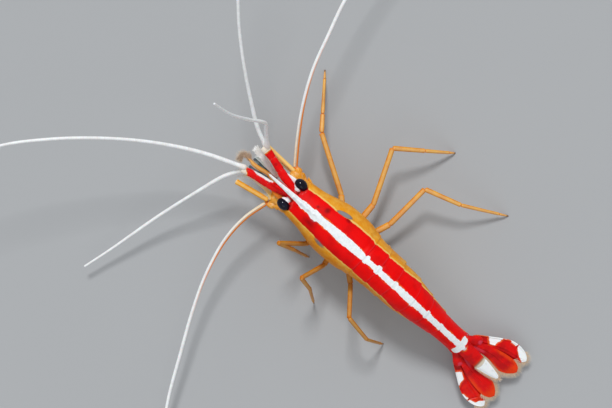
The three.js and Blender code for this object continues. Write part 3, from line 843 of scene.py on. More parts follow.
def rounded_box(x, y, half_x, half_y, corner):
    """Distance outside a box with round corners, less than 0 inside it."""
    over_x = np.abs(x) - half_x + corner
    over_y = np.abs(y) - half_y + corner
    outside = np.hypot(np.maximum(over_x, 0), np.maximum(over_y, 0))
    return outside + np.minimum(np.maximum(over_x, over_y), 0) - corner


# The three clouds on the right are organs seen through the shell; the broad one on the left is painted shade.
# Darker clouds in the red: how dark, where along the body and how many degrees round it, how much
# a millimetre and a degree count towards the distance from there, and the distance it fades over.
DARK_CLOUDS = [(1, 5.4, -26, 1, 0.075, 0.75), (1, 9.4, -37, 0.7, 0.09, 0.7),
               (0.8, 3.7, -20, 1, 0.075, 0.6), (0.65, 4.4, 24, 0.3, 0.045, 1)]


def marks(y, angle):
    """How far each place on the shell lies inside the white stripe and the red band, in mm.

    The other marks rise from 0 to 1.
    """
    degrees = np.degrees(angle)
    side = np.abs(degrees)
    on_left = angle > 0
    x = half_width(y) * np.sin(angle)
    tail_end = 1 - ramp(y, 41.6, 42.2)
    left = stripe_half(y, STRIPE_LEFT, 2) * tail_end
    right = stripe_half(y, STRIPE_RIGHT, 1) * tail_end
    bar = -rounded_box(x - 0.1, y - 41.02 - 0.09 * np.maximum(x, 0), 1.75, 0.64, 0.42)
    band = np.where(on_left, steps_of(BAND_LEFT, y), steps_of(BAND_RIGHT, y))
    window_at = np.where(on_left, 41.5, 42.5)
    lean = np.where(on_left, 0.02, 0.11) * (side - window_at)
    window = 1 - ((y - 8.2 - lean) / 1.6) ** 2 - ((side - window_at) / 7.5) ** 2
    # Painted shade: a dark line along the stripe's left edge, carried in the window value so that it greys
    # the red.
    shade_beside_white = 0.9 * bump_at(y, 4.7, 0.9) * (1 - np.abs(left - x + 0.2) / 0.26)
    window = np.maximum(window * np.where(on_left, 0.45, 1.0), 0.45 * shade_beside_white)
    # Painted shade: the red deepens down the left flank, which the light reaches less.
    shade = 0.36 * ramp(degrees, 12, 42) * ramp(y, 1.5, 4) * (1 - ramp(y, 13, 17))
    for dark, cloud_y, cloud_degrees, along, turn, fade in DARK_CLOUDS:
        away = np.hypot((y - cloud_y) * along, (degrees - cloud_degrees) * turn)
        shade = np.maximum(shade, dark - away / fade)
    return {
        "white": np.maximum(np.minimum(left - x, right + x), bar),
        "red": np.radians(band - side) * 0.95 * half_width(y),
        "belly": ramp(side, 92, 116),
        "window": np.maximum(window, 0),
        "shade": shade,
        "glow": bump_at(y, 6.7, 1.1),
        # Painted shade: the amber deepens on the left flank, which the light reaches less.
        "ochre": ramp(degrees, 44, 62) * (1 - ramp(degrees, 88, 104)),
        "edge": np.where(on_left, 0.4, 0.8),
    }


def add_shell(shape, front, rear, hem, lift, steps, columns):
    """One shell plate. front, rear and hem give its edges, and lift its height over the body."""
    share = np.linspace(0, 1, steps)[:, None]
    across = np.linspace(-1, 1, columns)[None, :]
    angle = ARCH * across * hem(share)
    degrees = np.degrees(angle)
    y = front(degrees) + share * (rear(degrees) - front(degrees))
    out = lift(share, degrees, y)
    outer = body_points(y, angle, out)
    inner = body_points(y, angle, out - SHELL)
    margin = (1 - share) * (rear(degrees) - front(degrees))
    add_sheet(shape, outer, inner, margin=margin, **marks(y, angle))


def carapace_front(degrees):
    """The front edge: a notch behind the eye, then a spine, then the rounded lower corner."""
    side = np.abs(degrees)
    notch = 0.62 * np.sin(np.pi * np.clip((side - 9) / 48, 0, 1))
    spine = -1.05 * np.clip(1 - np.abs(side - 66) / 5.5, 0, 1) ** 1.3
    corner = -0.45 * np.clip(1 - np.abs(side - 101) / 5, 0, 1) ** 1.2
    lower = 1.3 * ramp(side, 100, 118)
    return -0.2 + notch + spine + corner + lower + 0.3 * ramp(side, 70, 80)


def carapace_lift(share, degrees, y):
    """The keel behind the rostrum, the groove across each flank, the rims and a ridge by the eye."""
    side = np.abs(degrees)
    keel = 0.34 * bump_at(degrees, 0, 5.5) * (1 - ramp(y, 1.5, 7.5))
    groove = -0.09 * bump_at(y, 5.2 + 0.03 * side, 0.45) * ramp(side, 22, 40) * (1 - ramp(side, 74, 88))
    rim = 0.04 * ramp(y, CARAPACE_END - 0.5, CARAPACE_END - 0.1) - 0.05 * bump_at(y, CARAPACE_END - 0.8, 0.3)
    hem = 0.06 * ramp(side, 111, 116)
    ridge = 0.1 * bump_at(side, 66, 5) * (1 - ramp(y, 0.2, 2.6))
    return 0.06 + keel + groove + rim + hem + ridge


def build_carapace():
    shape = Shape()
    add_shell(
        shape,
        front=carapace_front,
        rear=lambda degrees: CARAPACE_END + 0.3 - 0.5 * ramp(np.abs(degrees), 88, 118),
        hem=lambda share: 1 - 0.06 * np.exp(-share * 9) - 0.05 * ramp(share, 0.9, 1.0),
        lift=carapace_lift,
        steps=150,
        columns=261,
    )
    add_rostrum(shape)
    make_piece(shape, "carapace_shell", looks["shell"], ("carapace", "rostrum"))


ROSTRUM_TEETH = [4.0, 2.5, 1.0, -0.7, -2.3, -4.0]
LOWER_TEETH = [-3.2, -4.6, -5.8]


def toothed(y, tips, height, length):
    """A saw edge whose teeth point forwards, each rising to its tip and falling sharply."""
    total = np.zeros_like(y)
    for tip in tips:
        behind = np.clip(1 - (y - tip) / length, 0, 1) ** 1.6 * (y >= tip)
        ahead = np.clip(1 - (tip - y) / 0.16, 0, 1) * (y < tip)
        total = np.maximum(total, height * (behind + ahead))
    return total


def add_rostrum(shape):
    """The rostrum: a narrow keel with forward-pointing teeth above and below."""
    y = np.linspace(5.4, ROSTRUM_TIP, 260)
    ahead = np.clip(-y / -ROSTRUM_TIP, 0, 1)
    crest = np.where(y > 0, back(y) + 0.3 - 0.24 * ramp(y, 2.5, 5.4), 13.9 + 0.6 * ahead)
    keel = np.where(y > 0, back(y) - 0.35, 13.2 + 0.95 * ahead)
    width = np.where(y > 0, 0.56 - 0.04 * np.abs(y), 0.56 - 0.38 * ahead) * (1 - 0.8 * ramp(ahead, 0.93, 1))
    tooth = toothed(y, ROSTRUM_TEETH, 0.3, 1.25) * (1 - 0.5 * ahead)
    low_tooth = toothed(y, LOWER_TEETH, 0.22, 0.9)
    sides = 16
    turn = 2 * np.pi * np.arange(sides) / sides
    middle = 0.5 * (crest + keel)
    tall = 0.5 * (crest - keel)
    x = width[:, None] * np.sign(np.sin(turn)) * np.abs(np.sin(turn)) ** 1.3
    flare = 1 + 0.65 * np.clip(-1.5 * np.cos(turn), 0, 1) * ramp(y, -5.6, -4.2)[:, None]
    z = middle[:, None] + tall[:, None] * np.cos(turn)
    z += tooth[:, None] * np.clip(np.cos(turn), 0, 1) ** 4
    z -= low_tooth[:, None] * np.clip(-np.cos(turn), 0, 1) ** 4
    points = points_at(side_bend(y)[:, None] + x * flare, y[:, None], z)
    ends = np.array([[side_bend(y[0]), y[0], middle[0]], [side_bend(0), ROSTRUM_TIP - 0.15, middle[-1]]])
    white = 0.62 - 0.25 * ramp(y, 0, -4)[:, None] - np.abs(x) - 0.9 * np.clip(-np.cos(turn) + 0.25, 0, 1)
    shape.add(np.vstack([points.reshape(-1, 3), ends]), tube_faces(len(y), sides),
              white=np.concatenate([white.ravel(), [0.5, 0.5]]), red=1.0, margin=1.0)


# For each ring of the abdomen: how far its side lobe reaches forwards and backwards at the hem,
# how much the lobe's corners are rounded, and how far it stands over its neighbours.
LOBES = [
    {"forwards": -0.4, "backwards": -0.7, "round": 0.12, "over": -0.06},
    {"forwards": 1.2, "backwards": 1.0, "round": 0.19, "over": 0.14},
    {"forwards": -0.8, "backwards": 1.0, "round": 0.17, "over": -0.03},
    {"forwards": -0.4, "backwards": 1.0, "round": 0.18, "over": 0.0},
    {"forwards": -0.3, "backwards": 0.8, "round": 0.18, "over": 0.0},
    {"forwards": 0.0, "backwards": 0.9, "round": 0.05, "over": -0.02},
]


def build_abdomen():
    start = CARAPACE_END
    for number, (end, lobe) in enumerate(zip(SOMITE_ENDS, LOBES), start=1):
        build_ring(number, start, end, lobe)
        start = end


def build_ring(number, start, end, lobe):
    def front(degrees):
        return start - 0.3 - lobe["forwards"] * ramp(np.abs(degrees), 72, 104)

    def rear(degrees):
        side = np.abs(degrees)
        if number < len(SOMITE_ENDS):
            return end + 0.26 + lobe["backwards"] * ramp(side, 72, 106)
        bow = 0.12 * bump_at(degrees, 0, 14) - 0.55 * ramp(side, 30, 75)
        corner = lobe["backwards"] * ramp(side, 84, 104)
        return end + 0.1 + bow + corner + 0.35 * bump_at(side, 100, 8)

    def hem(share):
        return 1 - lobe["round"] * np.abs(2 * share - 1) ** 2.6

    def lift(share, degrees, y):
        side = np.abs(degrees)
        arch = 0.05 * np.sin(np.pi * share)
        rim = 0.03 * ramp(share, 0.92, 0.96)
        groove = -0.04 * bump_at(share, 0.2, 0.05)
        hem_rim = 0.05 * ramp(side, 106, 112)
        low = ramp(side, 86, 98)
        over = lobe["over"] * low * np.sin(np.pi * np.clip(share, 0.02, 0.98)) ** 0.4
        flare = 0.13 * low * ramp(share, 0.55, 1.0) + 0.05 * low * bump_at(share, 0.93, 0.035)
        fold = -0.07 * low * bump_at(share, 0.86, 0.035)
        return -0.05 + 0.1 * share + arch + rim + groove + over + flare + fold + hem_rim

    shape = Shape()
    add_shell(shape, front, rear, hem, lift, steps=54, columns=181)
    make_piece(shape, f"abdomen_ring_{number}", looks["shell"], (f"abdomen_{number}",))


CHEST_JOINTS = [0.0, 2.4, 4.8, 7.2, 9.4, 11.6, 13.8]


def build_underside():
    """The flesh inside the shells: it shows between the plates and along the belly."""
    shape = Shape()
    y = np.linspace(0.25, SOMITE_ENDS[-1] - 0.2, 240)
    half_ring = np.linspace(-ARCH, ARCH, 44)
    rim = body_points(y[:, None], half_ring[None, :], -0.3)
    across = np.linspace(1, -1, 22)[1:-1]
    left = rim[:, -1:, :]
    right = rim[:, :1, :]
    middle = 0.5 * (left + right)
    belly = middle + (left - middle) * across[None, :, None]
    rise = BELLY_RISE * depth(y)[:, None] * (1 - across[None, :] ** 2)
    joints = np.array(CHEST_JOINTS + [CARAPACE_END] + SOMITE_ENDS)
    ribs = np.min(np.abs(y[:, None] - joints[None, :]), axis=1)
    rise = rise - 0.28 * np.exp(-(ribs / 0.35) ** 2)[:, None] * (1 - across[None, :] ** 4)
    belly[..., 2] += rise
    rings = np.concatenate([rim, belly], axis=1)
    ends = rings[[0, -1]].mean(axis=1)
    shape.add(np.vstack([rings.reshape(-1, 3), ends]), tube_faces(*rings.shape[:2]))
    make_piece(shape, "underside", looks["flesh"])


# ------------------------------------------------------------------ head

def both_sides(point, side):
    """A point given for the left side, on the side asked for, in the body's own bend."""
    return np.array([side * point[0] + side_bend(0), point[1], point[2]])


def add_pad(shape, side, start, end, wide, count=16, sides=20, flat=(1, 1), taper=0):
    """A short tube with round ends, between two places given for the left side."""
    path, radius = capped_line(both_sides(start, side), both_sides(end, side), count, wide)
    radius = radius * (1 - taper * np.linspace(0, 1, count))
    add_tube(shape, path, radius * flat[0], sides, tall=radius * flat[1])


def build_head():
    """The front of the head under the rostrum: its middle, a brow and a cheek each side, the lip."""
    shape = Shape()
    add_pad(shape, 1, (0, 0.9, 9.9), (0, -2.1, 9.9), 2.0, 26, 40, flat=(1.25, 0.92))
    for side in SIDES.values():
        add_pad(shape, side, (0.5, 0.6, 11.2), (0.7, -1.6, 10.7), 0.7)
        add_pad(shape, side, (2.3, 1.3, 9.2), (2.55, -1.3, 9.1), 1.15, 18, 24, flat=(1, 1.1))
    add_pad(shape, 1, (0, 0.8, 7.9), (0, -1.1, 7.6), 0.8)
    melt(make_piece(shape, "head_front", looks["amber"], ("head",)))


EYE_INWARD = {"L": 0, "R": 0.08}           # how much nearer the middle each eye lies
CUP_INWARD = {"L": 0.52, "R": 0.42}        # how far the pale cup lies inside the eye
CUP_WHITE = {"L": 1.0, "R": 0.75}

# The red pads between the eyestalk and the shell: their middles on the left, half sizes and sides.
STALK_PADS = [((2.0, 0.6, 11.55), (1.1, 0.5, 1.3), 30), ((0.95, 0.35, 12.4), (1.05, 0.62, 0.98), 30),
              ((1.75, 0.5, 12.4), (0.7, 0.42, 0.78), 24)]


def build_eyes():
    """Dark oval eyes, each held on its inner side by a pale cup at the end of a short stalk."""
    for label, side in SIDES.items():
        centre = both_sides(EYE - [EYE_INWARD[label], 0, 0], side)
        shape = Shape()
        add_ellipsoid(shape, centre, CORNEA, sides=56, rows=44)
        points, _, values = shape.blocks[0]
        values["rim"] = 1 - ramp((points[:, 2] - centre[2]) / CORNEA[2], 0.1, 0.42)
        make_piece(shape, f"cornea_{label}", looks["eye"], (f"eye_{label}",))
        stalk = Shape()
        cup = centre - [side * CUP_INWARD[label], 0, 0]
        add_ellipsoid(stalk, cup, [0.82, 1.02, 0.62], sides=44, rows=30)
        points, _, values = stalk.blocks[0]
        rearward = ramp(points[:, 1] - centre[1], 0.3, 0.7)
        values["white"] = (1 - rearward) * CUP_WHITE[label]
        values["red"] = rearward
        path = straight(both_sides((0.1, -0.72, 12.0), side), cup, 26)
        share = np.linspace(0, 1, 26)
        add_tube(stalk, path, 0.42 + 0.26 * ramp(share, 0.2, 0.9), 36, white=ramp(share, 0.45, 0.62))
        for place, half_sizes, sides in STALK_PADS:
            pad = both_sides(place, side)
            add_ellipsoid(stalk, pad, half_sizes, sides=sides, rows=sides * 2 // 3, red=1.0)
        make_piece(stalk, f"stalk_{label}", looks["stalk"], (f"eyestalk_{label}",))


PEDUNCLES = {
    "L": [(0.75, -0.6, 11.4), (1.05, -2.3, 11.25), (1.5, -4.05, 11.2), (1.88, -5.8, 11.22),
          (2.2, -7.6, 11.24), (2.52, -9.0, 11.25), (2.8, -10.0, 11.25), (2.98, -10.8, 11.25)],
    "R": [(-0.55, -0.6, 11.4), (-0.78, -2.3, 11.25), (-1.02, -4.05, 11.2), (-1.52, -5.8, 11.22),
          (-2.0, -7.6, 11.24), (-2.27, -8.8, 11.25), (-2.44, -9.75, 11.25), (-2.6, -10.6, 11.25)],
}
PEDUNCLE_WIDTH = {
    "L": [[0, 0.5], [0.12, 0.62], [0.33, 0.78], [0.55, 0.8], [0.75, 0.74], [0.88, 0.7], [1.0, 0.7]],
    "R": [[0, 0.5], [0.12, 0.62], [0.33, 0.78], [0.55, 0.74], [0.72, 0.68], [0.85, 0.78],
          [0.93, 0.84], [1.0, 0.82]],
}
CREASES = [0.48, 0.72, 0.9]                # the share of the peduncle at which each segment ends
RED_END = {"L": 0.885, "R": 0.86}          # the share at which its red ends
RED_SLANT = {"L": 0.035, "R": 0.0}         # how much further it runs on the inner side


def build_antennule_peduncles():
    """Three segments that run on as one red tube, with a pale end that carries the feelers."""
    for label, side in SIDES.items():
        shape = Shape()
        path = smooth_route(PEDUNCLES[label], 200)
        share = np.linspace(0, 1, 200)
        wide = profile(PEDUNCLE_WIDTH[label])(share)
        for crease in CREASES:
            wide = wide * (1 - 0.07 * bump_at(share, crease, 0.013))
        wide = rounded(wide, path, 0.25)
        add_tube(shape, path, wide, 40, tall=wide * 0.82)
        values = shape.blocks[-1][2]
        along = values["share"]
        inner = -side * values["around"]
        end = RED_END[label]
        slant = RED_SLANT[label] * np.sin(2 * np.pi * inner)
        values["ring"] = ramp(along - slant, end - 0.02, end + 0.045)
        if side > 0:
            taper = 0.25 * ramp(along, 0.7, 0.86) + 0.1 * ramp(along, 0.5, 0.42)
            values["white"] = np.minimum(0.2 - np.abs(inner - 0.36) - taper,
                                         np.minimum(along - 0.42, 0.84 - along) * 5)
        else:
            values["white"] = -1 + 0 * along
            lining = 0.5 * (1 - ramp(np.abs(inner - 0.5), 0.08, 0.14)) * ramp(along, 0.3, 0.5)
            values["ring"] = np.maximum(values["ring"], lining)
        add_stylocerite(shape, label, side)
        make_piece(shape, f"antennule_peduncle_{label}_shell", looks["peduncle"],
                   (f"antennule_peduncle_{label}",))
        build_peduncle_hairs(label, path, wide)


STYLOCERITES = {
    "L": {"tip": (2.2, -4.2, 10.95), "white": -1.0, "ring": 0.55},
    "R": {"tip": (2.05, -4.2, 10.95), "white": 0.6, "ring": 0.0},
}


def add_stylocerite(shape, label, side):
    """The flat pointed scale at the outer side of the peduncle's root, in front of the eye."""
    chosen = STYLOCERITES[label]
    path = straight(both_sides((1.9, -1.3, 11.0), side), both_sides(chosen["tip"], side), 30)
    wide = rounded(0.62 * (1 - np.linspace(0, 1, 30)) ** 0.75 + 0.02, path, 0.3)
    add_tube(shape, path, wide, 24, tall=wide * 0.4 + 0.02, white=chosen["white"], ring=chosen["ring"])


def build_peduncle_hairs(label, path, wide):
    """A collar of fine hairs at the end of each segment of the peduncle."""
    shape = Shape()
    ahead = unit(np.gradient(path, axis=0))
    for crease in CREASES:
        at = int(crease * (len(path) - 1))
        across = unit(np.cross([0, 0, 1], ahead[at]))
        over = np.cross(ahead[at], across)
        count = 30
        turn = 2 * np.pi * (np.arange(count) + rng.uniform(-0.3, 0.3, count)) / count
        spoke = np.cos(turn)[:, None] * across + np.sin(turn)[:, None] * over * 0.82
        roots = path[at] + spoke * wide[at] * 0.95
        lean = spoke * 0.55 + ahead[at] + rng.normal(0, 0.12, (count, 3))
        add_hairs(shape, roots, lean, rng.uniform(0.2, 0.4, count), 0.012, (crease, turn / (2 * np.pi)))
    make_piece(shape, f"antennule_hairs_{label}", looks["tan_hair"])


ANTENNA_BASE = {"L": np.array([4.8, -3.15, 8.75]), "R": np.array([-3.5, -3.6, 8.85])}
ELBOW_SHARE = {"L": 0.62, "R": 0.7}        # how far along from hip to base the elbow lies
ELBOW_OUT = {"L": 0.14, "R": 0.1}

# The short points on each base: where they start and end on the left, their radius and taper.
BASE_POINTS = [
    ((3.5, -2.2, 9.4), (3.9, -3.3, 9.35), 0.4, 0.6),
    ((3.45, -2.0, 8.9), (4.05, -2.95, 9.0), 0.36, 0.6),
    ((3.6, 0.2, 9.35), (3.95, -0.85, 9.5), 0.36, 0.7),
    ((3.3, 0.9, 9.3), (3.85, -0.2, 9.55), 0.34, 0.7),
]


def build_antenna_bases():
    """Stout segments beside the mouth that carry the long antennae and the antennal scales."""
    for label, side in SIDES.items():
        shape = Shape()
        base = ANTENNA_BASE[label]
        hip = both_sides((2.5, 0.3, 9.0), side)
        elbow = between(hip, base, ELBOW_SHARE[label]) + [side * ELBOW_OUT[label], 0, 0.12]
        for a, b, r0, r1, waist in ((hip, elbow, 1.02, 0.86, 0.24), (elbow + [0, 0.3, 0], base, 0.8, 0.6, 0)):
            path, ends = capped_line(a, b, 24, 1.0, 0.7)
            share = np.linspace(0, 1, 24)
            radius = between(r0, r1, share) * ends * (1 + 0.06 * bump_at(share, 0.9, 0.07))
            radius = radius * (1 - waist * bump_at(share, 0.5, 0.24))
            add_tube(shape, path, radius, 28, ring=ramp(share, 0.8, 1.0) * 0.7)
        add_ellipsoid(shape, both_sides((2.75, -2.3, 9.3), side), [1.1, 1.6, 0.85], 40, 30, axis=1)
        add_ellipsoid(shape, both_sides((2.15, -1.8, 9.8), side), [0.85, 1.9, 0.8], 30, 24, axis=1)
        for start, end, wide, taper in BASE_POINTS:
            add_pad(shape, side, start, end, wide, sides=12, taper=taper)
        outward = unit(base - elbow + [side * 0.5, 0, 0])
        collar, thick = capped_line(base - outward * 0.3, base + outward * 0.35, 12, 0.52, 0.5)
        add_tube(shape, collar, thick, 24, ring=1.0)
        name = f"antenna_base_{label}"
        melt(make_piece(shape, name, looks["amber"], (f"antenna_peduncle_{label}",)), base)


SCALE_HINGE = {"L": np.array([3.95, -2.4, 9.8]), "R": np.array([-2.88, -2.4, 9.8])}
SCALE_TIP = {"L": np.array([5.58, -10.04, 9.8]), "R": np.array([-3.02, -10.3, 9.8])}
ROD_WIDTH = {"L": 0.48, "R": 0.37}
SCALE_PALE_END = {"L": (0.86, 1.0), "R": (0.84, 0.93)}     # the rod pales between these shares
BLADE_HANG = {"L": 0.08, "R": 1.05}        # how steeply the blade hangs under the feelers' base
BLADE_REACH = {"L": 1.14, "R": 1.0}
BLADE_HALF = {"L": np.array([0, 0, 0.05]), "R": np.array([0.045, 0, 0.02])}    # half its thickness
BLADE_WIDTH = [[0.08, 0.8], [0.2, 1.3], [0.35, 1.55], [0.65, 1.75], [0.8, 1.66], [0.9, 1.36],
               [0.96, 0.95], [1.0, 0.45]]
BLADE_BORDER = [[0.08, 0.8], [0.3, 0.74], [0.6, 0.56], [0.85, 0.3]]


def build_antennal_scales():
    """The antennal scale: a stout outer rod with a thin clear blade on its inner side."""
    for label, side in SIDES.items():
        shape = Shape()
        hinge = SCALE_HINGE[label]
        tip = SCALE_TIP[label]
        path, ends = capped_line(between(hinge, tip, 0.12) - [0, 0, 0.25], tip, 70, 1.0, 0.4)
        share = np.linspace(0, 1, 70)
        rod = (ROD_WIDTH[label] + 0.05 * ramp(share, 0.8, 1.0)) * ends
        add_tube(shape, path, rod, 24, tall=rod * 0.8, tip=ramp(share, *SCALE_PALE_END[label]))
        values = shape.blocks[0][2]
        values["middle"] = 1 - np.abs(values["around"]) * 3.0
        ahead = unit(tip - hinge)
        level = side * unit(np.array([ahead[1], -ahead[0], 0.0]))
        hang = BLADE_HANG[label]
        inward = unit(level * math.cos(hang) + np.array([0, 0, -math.sin(hang)]))
        s = np.linspace(0.08, 1.0, 80)[:, None]
        t = np.linspace(0, 1, 30)[None, :]
        length = np.linalg.norm(tip - hinge)
        reach = steps_of(BLADE_WIDTH, s) * BLADE_REACH[label]
        flat = hinge + ahead * (s * length)[..., None] + inward * (0.15 + reach * t)[..., None]
        flat = flat + np.array([0, 0, 1]) * (0.1 * np.sin(np.pi * t) * reach / 2 - 0.05)[..., None]
        margin = ramp(reach * t - reach + steps_of(BLADE_BORDER, s), 0, 0.08)
        add_sheet(shape, flat + BLADE_HALF[label], flat - BLADE_HALF[label], across=reach * t,
                  clear=np.clip(0.25 + 1.6 * s + 0.35 * t, 0, 1),
                  margin=margin * (1 - ramp(s, 0.84, 0.96)), near=1 - ramp(s, 0.15, 0.6))
        make_piece(shape, f"scale_{label}", looks[f"scale_{label}"],
                   (f"antennal_scale_{label}",))
        hairs = Shape()
        count = 120
        edge = even_points(flat[34:, -1], count)
        lean = inward * 0.8 + ahead * 0.75 + rng.normal(0, 0.06, (count, 3)) * [1, 1, 0.4]
        add_hairs(hairs, edge, lean, 0.4, 0.01, (np.linspace(0, 1, count), 0.9))
        make_piece(hairs, f"scale_fringe_{label}", looks["fringe"])


FEELER_ROUTES = {
    "antennule_upper_L": [(2.35, -10.2, 11.5), (5.7, -18.3, 13), (10.2, -26.1, 15), (15.4, -33, 17),
                          (21.2, -39.2, 18.5), (27.8, -44.8, 19.5), (36, -49, 19), (44.5, -51.5, 16.5)],
    "antennule_lower_L": [(2.6, -10.3, 11.0), (6.5, -12.2, 9.6), (11.3, -13.6, 8), (20, -15.8, 5.5),
                          (31.3, -18.2, 3.5), (37, -19.6, 3)],
    "antennule_lower_R": [(-2.75, -9.95, 11.1), (-4.3, -13.5, 13), (-7.4, -18.0, 16), (-11.8, -23.7, 20),
                          (-15.9, -28.3, 23), (-18.9, -31.2, 25), (-24, -36.5, 28), (-31, -41.5, 30),
                          (-39, -44.5, 30)],
    "antennule_upper_R": [(-2.85, -9.95, 11.45), (-5.0, -12.2, 14.5), (-6.3, -13.5, 18.5),
                          (-5.2, -16.0, 23.5), (-4.2, -19.0, 30), (-4.0, -22.5, 36)],
    "antenna_L": [(4.75, -3.15, 8.75), (9.5, -4.2, 9), (15, -4.1, 8.5), (22.2, -2.3, 7.5),
                  (28.8, 0.4, 6.5), (36.8, 4.4, 5.5), (45.7, 9.1, 4.5), (53, 14.5, 4.2), (58.5, 22, 4.4)],
    "antenna_R": [(-3.45, -3.65, 8.85), (-7.5, -6.8, 10), (-12.8, -10.4, 11.5), (-18.6, -13.4, 12.5),
                  (-25, -15.6, 13), (-31.5, -17.6, 13), (-40, -19, 12), (-49, -18.5, 10), (-57, -16, 7.5)],
}
FEELER_RADIUS = {"antenna": 0.43, "antennule": 0.41}
ANNULUS = 0.3                  # length of one small ring of a feeler
ANNULUS_SWELL = np.array([0.0, 0.6, 0.9, 1.0])     # how its radius grows from its near end


def build_feelers():
    """White feelers of many small rings, each a little wider at its far end."""
    for name, route in FEELER_ROUTES.items():
        kind = name.split("_")[0]
        length = distances(smooth_route(route, 200))[-1]
        path = smooth_route(route, int(length / ANNULUS) * 4 + 1)
        share = np.linspace(0, 1, len(path))
        thick = FEELER_RADIUS[kind]
        radius = thick - 0.11 * ramp(share, 0, 0.4) - (thick - 0.31) * ramp(share, 0.55, 1.0)
        if kind == "antennule":
            radius = radius + 0.13 * (1 - ramp(share * length, 0.5, 2.0))
        beat = np.arange(len(path)) % 4
        radius = radius * (0.965 + 0.05 * ANNULUS_SWELL[beat])
        shape = Shape()
        add_tube(shape, path, rounded(radius, path), 14, joint=1 - beat / 2)
        values = shape.blocks[0][2]
        values["tailward"] = values["around"] * SIDES[name[-1]]
        make_piece(shape, f"feeler_{name}", looks[kind], (f"{name}_base", f"{name}_tip"))


# ------------------------------------------------------------------ legs and mouthparts

def add_segment(shape, a, b, start, end, bow=(0, 0, 0), flatness=0.9):
    """One segment of a limb: waisted near its start, with a raised collar at its end."""
    a = np.asarray(a, float)
    b = np.asarray(b, float)
    length = np.linalg.norm(b - a)
    count = int(np.clip(length * 7, 14, 90))
    path = crowded_line(a, b, count)
    s = np.linalg.norm(path - a, axis=1) / length
    path = path + np.sin(np.pi * s)[:, None] * np.asarray(bow, float)
    near = s * length
    far = (1 - s) * length
    radius = between(start, end, s)
    radius = radius * (1 - 0.2 * np.exp(-(near / 0.3) ** 2) + 0.14 * np.exp(-(far / 0.28) ** 2))
    ring = np.exp(-(far / 0.35) ** 2) + 0.6 * np.exp(-(near / 0.22) ** 2)
    radius = radius * rounded(1.0, path, 0.5 * start)
    add_tube(shape, path, radius, 18, tall=radius * flatness, ring=ring)


SPINE_TAPER = np.array([1, 0.9, 0.7, 0.4, 0.08])


def add_spines(shape, a, b, radius, count, length, side):
    """A row of short movable spines along the lower side of a segment."""
    a = np.asarray(a, float)
    b = np.asarray(b, float)
    ahead = unit(b - a)
    down = unit(np.array([0, 0, -1]) + ahead * ahead[2])
    across = np.cross(ahead, down)
    for k in range(count):
        s = 0.15 + 0.8 * k / max(count - 1, 1)
        spoke = down + side * across * (0.5 if k % 2 else -0.5)
        root = between(a, b, s) + unit(spoke) * radius * 0.75
        tip = root + (unit(spoke) * 0.55 + ahead * 0.85) * length
        add_tube(shape, straight(root, tip, 5), radius * 0.22 * SPINE_TAPER, 6)


# Each walking leg's hip, end of its short base, knee, wrist and foot.
WALKING_LEGS = {
    "leg_3_L": [(2.3, 8.6, 5.2), (5.5, 8.0, 4.8), (8.3, 2.9, 13.5),
                (7.8, 6.3, 8.6), (7.8, 10.2, 0)],
    "leg_4_L": [(2.5, 11.4, 5.0), (5.9, 12.9, 4.8), (10.1, 10.2, 14),
                (11.1, 13.3, 9.0), (13.6, 16.8, 0)],
    "leg_5_L": [(2.6, 14.4, 4.9), (5.2, 18.2, 4.6), (9.8, 21.7, 12.5),
                (11.0, 27.4, 8.5), (10.5, 31.7, 0)],
    "leg_3_R": [(-2.3, 8.6, 5.2), (-4.4, 7.6, 4.6), (-11.2, -4.3, 6.5),
                (-13.8, -6.4, 5.1), (-19.9, -11.3, 0)],
    "leg_4_R": [(-2.5, 11.4, 5.0), (-6.5, 12.4, 4.6), (-17.9, 7.0, 7.5),
                (-21.5, 12.0, 4.6), (-25, 17, 0)],
    "leg_5_R": [(-2.6, 14.4, 4.9), (-6.0, 16.5, 4.6), (-16.4, 16.5, 7),
                (-18.7, 23.65, 5.2), (-23.1, 32.4, 0)],
}
ANKLE_SHARE = 0.8              # how far along from wrist to foot the claw begins
LEG_BOW = 0.25                 # how much higher the ankle lies than that straight line
LEG_GIRTH = {"L": 1.0, "R": 1.12}
# The left legs' look is the copy with painted shade.
LEG_LOOK = {"L": "left_leg_painted_shade", "R": "leg"}


def build_walking_legs():
    for name, joints in WALKING_LEGS.items():
        side = SIDES[name[-1]]
        wide = LEG_GIRTH[name[-1]]
        hip, thigh, knee, wrist, foot = np.array(joints, float)
        ankle = between(wrist, foot, ANKLE_SHARE) + [0, 0, LEG_BOW]
        short = between(hip, thigh, 0.55)
        shape = Shape()
        add_segment(shape, hip + [0, 0, 0.9], hip + [side * 0.15, 0, -0.25], 0.95, 0.8)
        add_segment(shape, hip, short + [0, 0, 0.05], 0.68, 0.56)
        add_segment(shape, short, between(thigh, knee, 0.12), 0.54 * wide, 0.5 * wide)
        add_segment(shape, between(thigh, knee, 0.1), knee, 0.46 * wide, 0.42 * wide, bow=(0, 0, 0.12))
        add_segment(shape, knee, wrist, 0.42 * wide, 0.36 * wide, bow=(0, 0, 0.1))
        add_segment(shape, wrist, ankle, 0.32 * wide, 0.26, bow=(0, 0, 0.15))
        add_claw(shape, ankle, foot)
        add_spines(shape, between(thigh, knee, 0.3), knee, 0.36, 4, 0.34, side)
        add_spines(shape, wrist, ankle, 0.25, 13, 0.26, side)
        make_piece(shape, f"walking_{name}", looks[LEG_LOOK[name[-1]]], (name,))


LESSER_CLAW = np.array([0.09, 0.08, 0.06, 0.04, 0.012])    # its radius, from root to tip


